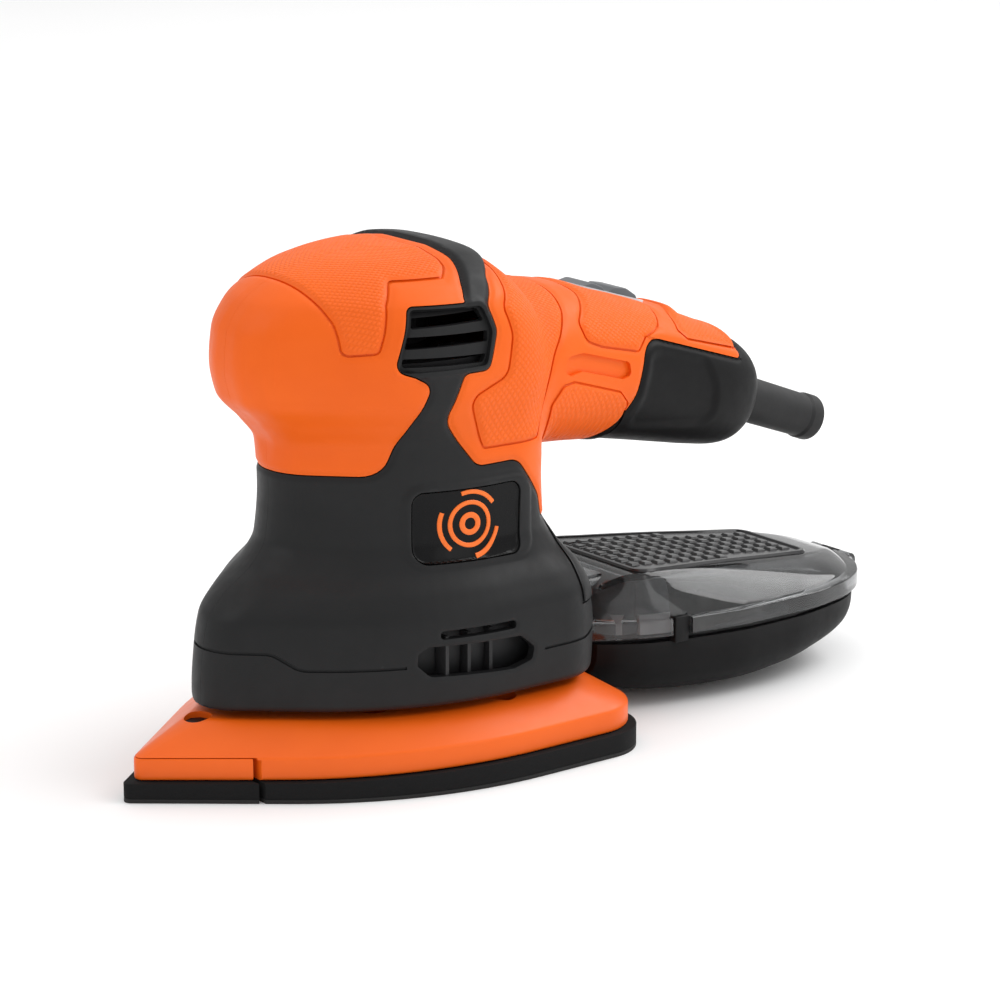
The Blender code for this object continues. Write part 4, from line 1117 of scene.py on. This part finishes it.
def studs(tree):
    """Rows of small square studs on the clear cover's top panel."""
    points, faces = [], []
    pitch, foot, top, rise = 4.4, 1.55, 0.95, 0.85
    for j in range(-4, 5):
        for i in range(15):
            x, y = j * pitch, 71.6 + i * pitch
            if abs(x) + foot > panel_half_width(y) - 1.6 or y > 132:
                continue
            start = len(points)
            for size, lift in ((foot, -0.4), (foot, 0.1), (top + 0.25, rise * 0.8), (top, rise)):
                for sx, sy in ((-1, -1), (1, -1), (1, 1), (-1, 1)):
                    px, py = x + sx * size, y + sy * size
                    points.append((px, py, ground_under(tree, px, py) + lift))
            faces.append((start + 3, start + 2, start + 1, start))
            for level in range(3):
                for k in range(4):
                    a = start + level * 4 + k
                    b = start + level * 4 + (k + 1) % 4
                    faces.append((a, b, b + 4, a + 4))
            faces.append((start + 12, start + 13, start + 14, start + 15))
    return solid(points, faces)


def panel_line():
    corners = [(-20.2, 68.5, 3.5), (20.2, 68.5, 3.5), (13.2, 133.5, 3.5), (-13.2, 133.5, 3.5)]
    return rounded(corners, 8)


def panel_rim(tree):
    """The raised border round the studded panel."""
    line = np.array(panel_line())
    fine = []
    for a, b in zip(line, np.roll(line, -1, axis=0)):
        steps = max(1, int(np.hypot(*(b - a)) / 1.5))
        fine += [a + (b - a) * k / steps for k in range(steps)]
    fine = np.array(fine)
    run = np.roll(fine, -1, axis=0) - np.roll(fine, 1, axis=0)
    run /= np.linalg.norm(run, axis=1, keepdims=True)
    out = np.column_stack([run[:, 1], -run[:, 0]])
    section = [(-0.9, -0.4), (-0.9, 0.25), (-0.45, 0.75), (0.45, 0.75), (0.9, 0.25), (0.9, -0.4)]
    rings = []
    for centre, side in zip(fine, out):
        places = [(*(centre + side * across), lift) for across, lift in section]
        rings.append([(x, y, ground_under(tree, x, y) + lift) for x, y, lift in places])
    return closed_tube(rings)


def hinge_knuckle(low, high):
    y, z = HINGE
    bar = cylinder(2.3, low, high, y, z, 32, "x")
    return union(bar, box((low, 151.0, z - 1.6), (high, y, z + 1.6)))


def build_cover(paint):
    stations = spread(57, 151.5, 90)
    dome = loft(cover_rings(stations, 0.0))
    tree = tree_of(dome)
    flange = softened(prism(flange_outline(), *FLANGE_Z), 0.6, 50)
    cover = union(dome, flange)
    neck = rounded([(-11.6, 24.4, 2), (11.6, 24.4, 2), (11.6, 35.6, 2), (-11.6, 35.6, 2)])
    union(cover, prism(neck, 43.5, 66.4, "y"))
    cut(cover, loft(floored(cover_rings(stations, 1.8), 19.0)))
    throat = rounded([(-10, 26, 1.5), (10, 26, 1.5), (10, 34, 1.5), (-10, 34, 1.5)])
    cut(cover, prism(throat, 40, 69, "y"))
    y, z = HINGE
    for x in (5.6, -5.6):
        union(cover, hinge_knuckle(x - 2.0, x + 2.0))
    cut(cover, box((-3.4, 152.4, 15), (3.4, 160, 30)), cylinder(1.5, -20, 20, y, z, 24, "x"))
    for side in (1, -1):
        cut(cover, sided_box(side, 26.2, 34, (73.9, 15), (79.5, 25.8)))
    piece(cover, "canister_cover_skin", "canister", paint["smoke"], ["canister_cover"],
          smooth=28)

    plate = loft(cover_rings(stations, -0.3))
    common(plate, prism(panel_line(), 30, 60))
    cut(plate, loft(cover_rings(stations, -0.02)))
    union(plate, panel_rim(tree), studs(tree))
    piece(plate, "canister_grip_panel", "canister", paint["panel"], smooth=28)

    room = loft(cover_rings(stations, 2.2))
    scoops = union(cylinder(6.5, 21, 40, 12.5, 66.5, 48), cylinder(4.6, 21, 40, 21.3, 71.5, 40))
    union(scoops, mirrored(scoops))
    common(softened(scoops, 0.8, 50), union(room, prism(flange_outline(3.2), 20.5, 26)))
    # The duct shapes are real; their near-white paint is a painted highlight for the shine of clear plastic.
    piece(scoops, "canister_inlet_scoops", "canister", paint["scoop"])


def build_bowl(paint):
    stations = spread(57, 150, 90)
    bowl = loft(bowl_rings(stations, 0.0))
    cut(bowl, loft(floored(bowl_rings(stations, 3.4), BOWL_TOP + 3)))
    for side in (1, -1):
        root = sided_box(side, 24.8, 27.7, (74.4, 18.4), (79.0, 19.9))
        latch = union(root, sided_box(side, 26.6, 27.7, (74.4, 19.0), (79.0, 25.4)))
        union(bowl, softened(latch, 0.3, 50))
    y, z = HINGE
    arm = union(cylinder(2.3, -3.0, 3.0, y, z, 32, "x"), box((-3.0, 152.8, 15.2), (3.0, 157.2, z)))
    union(bowl, union(arm, box((-3.0, 146.5, 14.6), (3.0, 157.2, 18.4))))
    cut(bowl, cylinder(1.5, -20, 20, y, z, 24, "x"))
    piece(bowl, "canister_bowl_skin", "bowl", paint["soft_black"], ["canister_bowl"])


# ---------------------------------------------------------------- materials

class Paint:
    """A small builder of node materials."""

    def __init__(self, name):
        self.material = bpy.data.materials.new(name)
        self.material.use_nodes = True
        self.tree = self.material.node_tree
        self.shader = self.tree.nodes["Principled BSDF"]
        self.where = self.node("ShaderNodeTexCoord").outputs["Object"]

    def node(self, kind, **values):
        made = self.tree.nodes.new(kind)
        for key, value in values.items():
            setattr(made, key, value)
        return made

    def link(self, source, target):
        self.tree.links.new(source, target)

    def feed(self, socket, value):
        if isinstance(value, (int, float)):
            socket.default_value = value
        elif isinstance(value, tuple):
            opaque = len(value) == 3 and len(socket.default_value) == 4
            socket.default_value = value + (1.0,) if opaque else value
        else:
            self.link(value, socket)

    def set(self, **values):
        for key, value in values.items():
            self.feed(self.shader.inputs[key.replace("_", " ")], value)
        return self

    def math(self, operation, a, b=0.0, c=0.0):
        made = self.node("ShaderNodeMath", operation=operation)
        for socket, value in zip(made.inputs, (a, b, c)):
            self.feed(socket, value)
        return made.outputs[0]

    def noise(self, size, detail=3.0, roughness=0.55, stretch=(1, 1, 1)):
        """Noise with features about size millimetres across."""
        made = self.node("ShaderNodeTexNoise")
        made.inputs["Detail"].default_value = detail
        made.inputs["Roughness"].default_value = roughness
        made.inputs["Scale"].default_value = 1 / (size * MM)
        place = self.node("ShaderNodeMapping")
        place.inputs["Scale"].default_value = stretch
        self.link(self.where, place.inputs["Vector"])
        self.link(place.outputs[0], made.inputs["Vector"])
        return made.outputs["Fac"]

    def ramp(self, value, *stops):
        made = self.node("ShaderNodeValToRGB")
        while len(made.color_ramp.elements) < len(stops):
            made.color_ramp.elements.new(0.5)
        for element, (place, colour) in zip(made.color_ramp.elements, stops):
            element.position = place
            element.color = (*colour, 1.0) if isinstance(colour, tuple) else (colour, colour, colour, 1.0)
        self.link(value, made.inputs[0])
        return made.outputs[0]

    def span(self, value, low, high, out_low, out_high):
        made = self.node("ShaderNodeMapRange")
        for socket, number in zip(list(made.inputs)[1:5], (low, high, out_low, out_high)):
            socket.default_value = number
        self.link(value, made.inputs[0])
        return made.outputs[0]

    def mix(self, share, a, b):
        made = self.node("ShaderNodeMix", data_type="RGBA")
        self.feed(made.inputs[0], share)
        self.feed(made.inputs[6], a)
        self.feed(made.inputs[7], b)
        return made.outputs[2]

    def attribute(self, name):
        return self.node("ShaderNodeAttribute", attribute_name=name).outputs["Fac"]

    def bump(self, height, distance, strength=1.0):
        made = self.node("ShaderNodeBump")
        made.inputs["Distance"].default_value = distance * MM
        self.feed(made.inputs["Strength"], strength)
        self.link(height, made.inputs["Height"])
        if self.shader.inputs["Normal"].is_linked:
            self.link(self.shader.inputs["Normal"].links[0].from_socket, made.inputs["Normal"])
        self.link(made.outputs[0], self.shader.inputs["Normal"])
        return self

    def edges(self):
        """About 0.5 on flat stretches, higher on raised edges and lower in hollows."""
        return self.node("ShaderNodeNewGeometry").outputs["Pointiness"]


def diamonds(paint, pitch):
    """A knurl of small diamonds that follows the sides and the top of the housing."""
    split = paint.node("ShaderNodeSeparateXYZ")
    paint.link(paint.where, split.inputs[0])
    up = paint.math("SUBTRACT", split.outputs[2], paint.math("ABSOLUTE", split.outputs[0]))
    turn = math.pi / (pitch * MM)
    one = paint.math("SINE", paint.math("MULTIPLY", paint.math("ADD", split.outputs[1], up), turn))
    two = paint.math("SINE", paint.math("MULTIPLY", paint.math("SUBTRACT", split.outputs[1], up), turn))
    return paint.math("ABSOLUTE", paint.math("MULTIPLY", one, two))


def moulded_plastic(name, dark, light, roughness, grain=0.02, grip=False, shine=0.3):
    """Injection-moulded plastic: fine spark-eroded grain, faint flow marks, and a painted highlight that
    lightens raised edges.
    """
    paint = Paint(name)
    flow = paint.noise(28, 3, 0.6, (1, 0.5, 1))
    colour = paint.ramp(flow, (0.3, dark), (0.7, light))
    fine = paint.noise(0.5, 2, 0.6)
    rough = paint.span(paint.noise(3.0, 4), 0.3, 0.7, roughness - 0.04, roughness + 0.05)
    # Painted highlight: raised edges (high pointiness) are mixed towards a lighter colour.
    edge_highlight = paint.span(paint.edges(), 0.52, 0.6, 0.0, 0.35)
    colour = paint.mix(edge_highlight, colour, tuple(min(1.0, c * 1.25 + 0.01) for c in light))
    if grip:
        share = paint.attribute("grip")
        knurl = diamonds(paint, 1.8)
        lighter = tuple(min(1.0, c * 1.12 + 0.012) for c in light)
        colour = paint.mix(paint.math("MULTIPLY", share, paint.math("MULTIPLY", knurl, 0.5)), colour, lighter)
        rough = paint.math("ADD", rough, paint.math("MULTIPLY", share, 0.08))
        paint.bump(knurl, 0.16, share)
    paint.bump(fine, grain, 0.7)
    paint.set(Base_Color=colour, Roughness=rough, Specular_IOR_Level=shine)
    return paint


def metal(name, dark, light, roughness, brushed):
    """Bare or plated metal with a fine brushed grain."""
    paint = Paint(name)
    grain = paint.noise(1.2, 4, 0.6, brushed)
    paint.set(Base_Color=paint.ramp(grain, (0.3, dark), (0.7, light)), Metallic=1.0,
              Roughness=paint.span(grain, 0.3, 0.7, roughness - 0.06, roughness + 0.1))
    paint.bump(grain, 0.01, 0.5)
    return paint


def smoked_clear():
    """Clear plastic with a smoke tint, dust-hazed a little on the inside."""
    paint = Paint("smoked_clear")
    haze = paint.noise(9, 5, 0.65)
    paint.set(Base_Color=paint.ramp(haze, (0.35, (0.20, 0.205, 0.21)), (0.7, (0.28, 0.285, 0.29))),
              Roughness=paint.span(haze, 0.35, 0.75, 0.03, 0.1),
              Transmission_Weight=0.93, IOR=1.49, Specular_IOR_Level=0.5)
    paint.bump(paint.noise(14, 2), 0.05, 0.3)
    return paint


# Moulded plastics: key, material name, dark and light colour, roughness, grain, and what else is set.
ORANGE = (0.78, 0.108, 0.004), (0.84, 0.126, 0.006)
PLASTICS = (
    ("orange", "housing_orange", *ORANGE, 0.45, 0.02, {"grip": True, "shine": 0.22}),
    ("platen", "platen_orange", *ORANGE, 0.36, 0.012, {}),
    ("accent", "badge_orange", (0.80, 0.14, 0.015), (0.88, 0.17, 0.02), 0.35, 0.01, {}),
    ("black", "housing_black", (0.0085, 0.0087, 0.0092), (0.0125, 0.0128, 0.0134), 0.47, 0.02,
     {"shine": 0.22}),
    ("soft_black", "grip_black", (0.004, 0.004, 0.0043), (0.0066, 0.0066, 0.007), 0.5, 0.02,
     {"shine": 0.14}),
    ("inner", "inner_black", (0.012, 0.012, 0.013), (0.02, 0.02, 0.021), 0.5, 0.03, {}),
    ("badge", "badge_black", (0.002, 0.002, 0.0022), (0.004, 0.004, 0.0044), 0.25, 0.004, {"shine": 0.15}),
    ("rubber", "rubber_black", (0.009, 0.009, 0.0095), (0.015, 0.015, 0.0155), 0.62, 0.03, {}),
    ("rocker", "switch_grey", (0.10, 0.105, 0.112), (0.14, 0.146, 0.155), 0.38, 0.02, {}),
    ("silver", "bezel_silver", (0.55, 0.56, 0.57), (0.68, 0.69, 0.70), 0.25, 0.008, {}),
    ("filter_frame", "filter_grey", (0.16, 0.17, 0.18), (0.24, 0.25, 0.26), 0.5, 0.03, {}),
    ("wire", "lead_insulation", (0.55, 0.55, 0.52), (0.72, 0.72, 0.69), 0.45, 0.02, {}),
    ("carbon", "carbon", (0.012, 0.012, 0.012), (0.035, 0.035, 0.035), 0.6, 0.05, {}),
    # The inlet scoops' near-white colour is a painted highlight, standing in for the shine of the clear ducts
    # at the canister's neck.
    ("scoop", "inlet_painted_highlight", (0.80, 0.80, 0.81), (0.92, 0.92, 0.93), 0.3, 0.004, {}),
    ("panel", "smoked_panel", (0.012, 0.012, 0.013), (0.02, 0.02, 0.021), 0.16, 0.004, {}),
)
# Metals: key, material name, dark and light colour, roughness, and the brushing's stretch.
METALS = (
    ("steel", "ground_steel", (0.42, 0.42, 0.43), (0.62, 0.62, 0.63), 0.3, 12),
    ("lamination", "laminated_steel", (0.18, 0.18, 0.19), (0.34, 0.34, 0.35), 0.42, 40),
    ("copper", "enamelled_copper", (0.42, 0.14, 0.05), (0.72, 0.30, 0.14), 0.32, 20),
    ("brass", "brass", (0.55, 0.38, 0.13), (0.78, 0.58, 0.25), 0.3, 12),
    ("black_oxide", "black_oxide", (0.02, 0.02, 0.021), (0.05, 0.05, 0.052), 0.45, 3),
    ("zinc", "zinc_plate", (0.45, 0.46, 0.47), (0.66, 0.67, 0.68), 0.3, 3),
)


def foam_rubber():
    foam = Paint("pad_foam")
    cells = foam.noise(0.55, 3, 0.7)
    foam.set(Base_Color=foam.ramp(cells, (0.3, (0.003, 0.003, 0.0032)), (0.75, (0.010, 0.010, 0.0105))),
             Specular_IOR_Level=0.2, Roughness=foam.span(cells, 0.3, 0.7, 0.72, 0.9))
    foam.bump(cells, 0.12, 0.8)
    return foam


def abrasive_grit():
    """Grit on the face that points down, and the hook backing elsewhere."""
    grit = Paint("abrasive_grit")
    grain = grit.noise(0.35, 4, 0.8)
    facing = grit.node("ShaderNodeSeparateXYZ")
    grit.link(grit.node("ShaderNodeNewGeometry").outputs["Normal"], facing.inputs[0])
    down = grit.math("LESS_THAN", facing.outputs[2], -0.7)
    face = grit.ramp(grain, (0.3, (0.10, 0.035, 0.018)), (0.7, (0.32, 0.13, 0.07)))
    back = grit.ramp(grain, (0.3, (0.005, 0.005, 0.005)), (0.7, (0.016, 0.015, 0.014)))
    grit.set(Base_Color=grit.mix(down, back, face), Roughness=grit.span(grain, 0.3, 0.7, 0.65, 0.95))
    grit.bump(grain, 0.15, 1.0)
    return grit


def filter_paper():
    pleats = Paint("filter_paper")
    fibre = pleats.noise(0.6, 5, 0.7)
    pleats.set(Base_Color=pleats.ramp(fibre, (0.3, (0.60, 0.58, 0.52)), (0.7, (0.82, 0.80, 0.74))),
               Roughness=pleats.span(fibre, 0.3, 0.7, 0.8, 0.95))
    pleats.bump(fibre, 0.1, 0.8)
    return pleats


def make_paints():
    made = {key: moulded_plastic(name, dark, light, rough, grain, **more)
            for key, name, dark, light, rough, grain, more in PLASTICS}
    for key, name, dark, light, rough, stretch in METALS:
        made[key] = metal(name, dark, light, rough, (1, 1, stretch))
    made["rubber"].set(Sheen_Weight=0.08)
    made.update(foam=foam_rubber(), grit=abrasive_grit(), filter=filter_paper(), smoke=smoked_clear())
    return {key: paint.material for key, paint in made.items()}


# The paint of each CAD material slot, for the nodes that stay in view.
SLOT_PAINT = {
    "housing_orange": "orange", "housing_black": "black", "rubber_black": "rubber", "pad_foam": "foam",
    "abrasive_paper": "grit", "smoked_clear": "smoke", "inner_black": "inner", "switch_grey": "filter_frame",
    "bezel_silver": "silver", "steel": "steel", "laminated_steel": "lamination", "copper_wire": "copper",
    "brass": "brass", "carbon": "carbon", "lead_insulation": "wire", "filter_paper": "filter",
    "screw_zinc": "zinc",
}


def paint_frame(paint):
    """Give the CAD nodes that stay in view the same finishes."""
    for entry in frame["record"]["subparts"]:
        item = frame["nodes"][entry["node"]]
        item.data.materials.clear()
        dark = entry["node"] == "tip_screw"
        item.data.materials.append(paint["black_oxide" if dark else SLOT_PAINT[entry["material_slot"]]])


# ---------------------------------------------------------------- stage

# Lights and camera, in metres: name, place, aim, size, power in watts.
CENTRE = (0.0, 0.03, 0.06)
LIGHTS = (
    ("overhead", (0.0, 0.1, 1.7), (0.0, 0.1, 0.0), (2.6, 2.6), 8.5),
    ("back", (0.32, 1.0, 1.08), CENTRE, (1.4, 0.8), 13),
    ("key", (-0.25, -0.95, 0.85), CENTRE, (0.6, 0.6), 1.9),
    ("side", (1.3, 0.3, 0.45), CENTRE, (0.5, 0.7), 1.2),
)
SKY_STRENGTH = 0.74
CAMERA_PLACE = (0.7650, -0.5602, 0.3178)
CAMERA_AIM = (0.00387, 0.03449, 0.05894)
CAMERA_LENS, SENSOR_WIDTH = 139.32, 36
FLOOR_HALF = 3000


def area_light(name, place, aim, size, power):
    data = bpy.data.lights.new(name, "AREA")
    data.shape = "RECTANGLE"
    data.size, data.size_y = size
    data.energy = power
    lamp = bpy.data.objects.new(name, data)
    lamp.location = place
    lamp.rotation_euler = (Vector(aim) - Vector(place)).to_track_quat("-Z", "Y").to_euler()
    bpy.context.scene.collection.objects.link(lamp)


def build_stage():
    scene = bpy.context.scene
    world = bpy.data.worlds.new("studio")
    world.use_nodes = True
    sky = world.node_tree.nodes["Background"]
    sky.inputs["Color"].default_value = (1, 1, 1, 1)
    sky.inputs["Strength"].default_value = SKY_STRENGTH
    scene.world = world
    scene.view_settings.view_transform = "Standard"

    floor = box((-FLOOR_HALF, -FLOOR_HALF, -20), (FLOOR_HALF, FLOOR_HALF, -0.05))
    floor.name = "floor"
    paint = Paint("floor_paper")
    tone = paint.noise(400, 2)
    paint.set(Base_Color=paint.ramp(tone, (0.3, 0.95), (0.7, 0.97)),
              Roughness=paint.span(tone, 0.3, 0.7, 0.7, 0.8))
    floor.data.materials.append(paint.material)

    for light in LIGHTS:
        area_light(*light)

    camera = bpy.data.cameras.new("camera")
    camera.lens = CAMERA_LENS
    camera.sensor_width = SENSOR_WIDTH
    camera.clip_end = 20
    eye = bpy.data.objects.new("camera", camera)
    eye.location = CAMERA_PLACE
    eye.rotation_euler = (Vector(CAMERA_AIM) - eye.location).to_track_quat("-Z", "Y").to_euler()
    scene.collection.objects.link(eye)
    scene.camera = eye


paints = make_paints()
build_stage()
paint_frame(paints)
for build in (build_housing, build_skirt_inside, build_roof_rib, build_switch, build_sleeve,
              build_platen, build_pads, build_cover, build_bowl):
    build(paints)
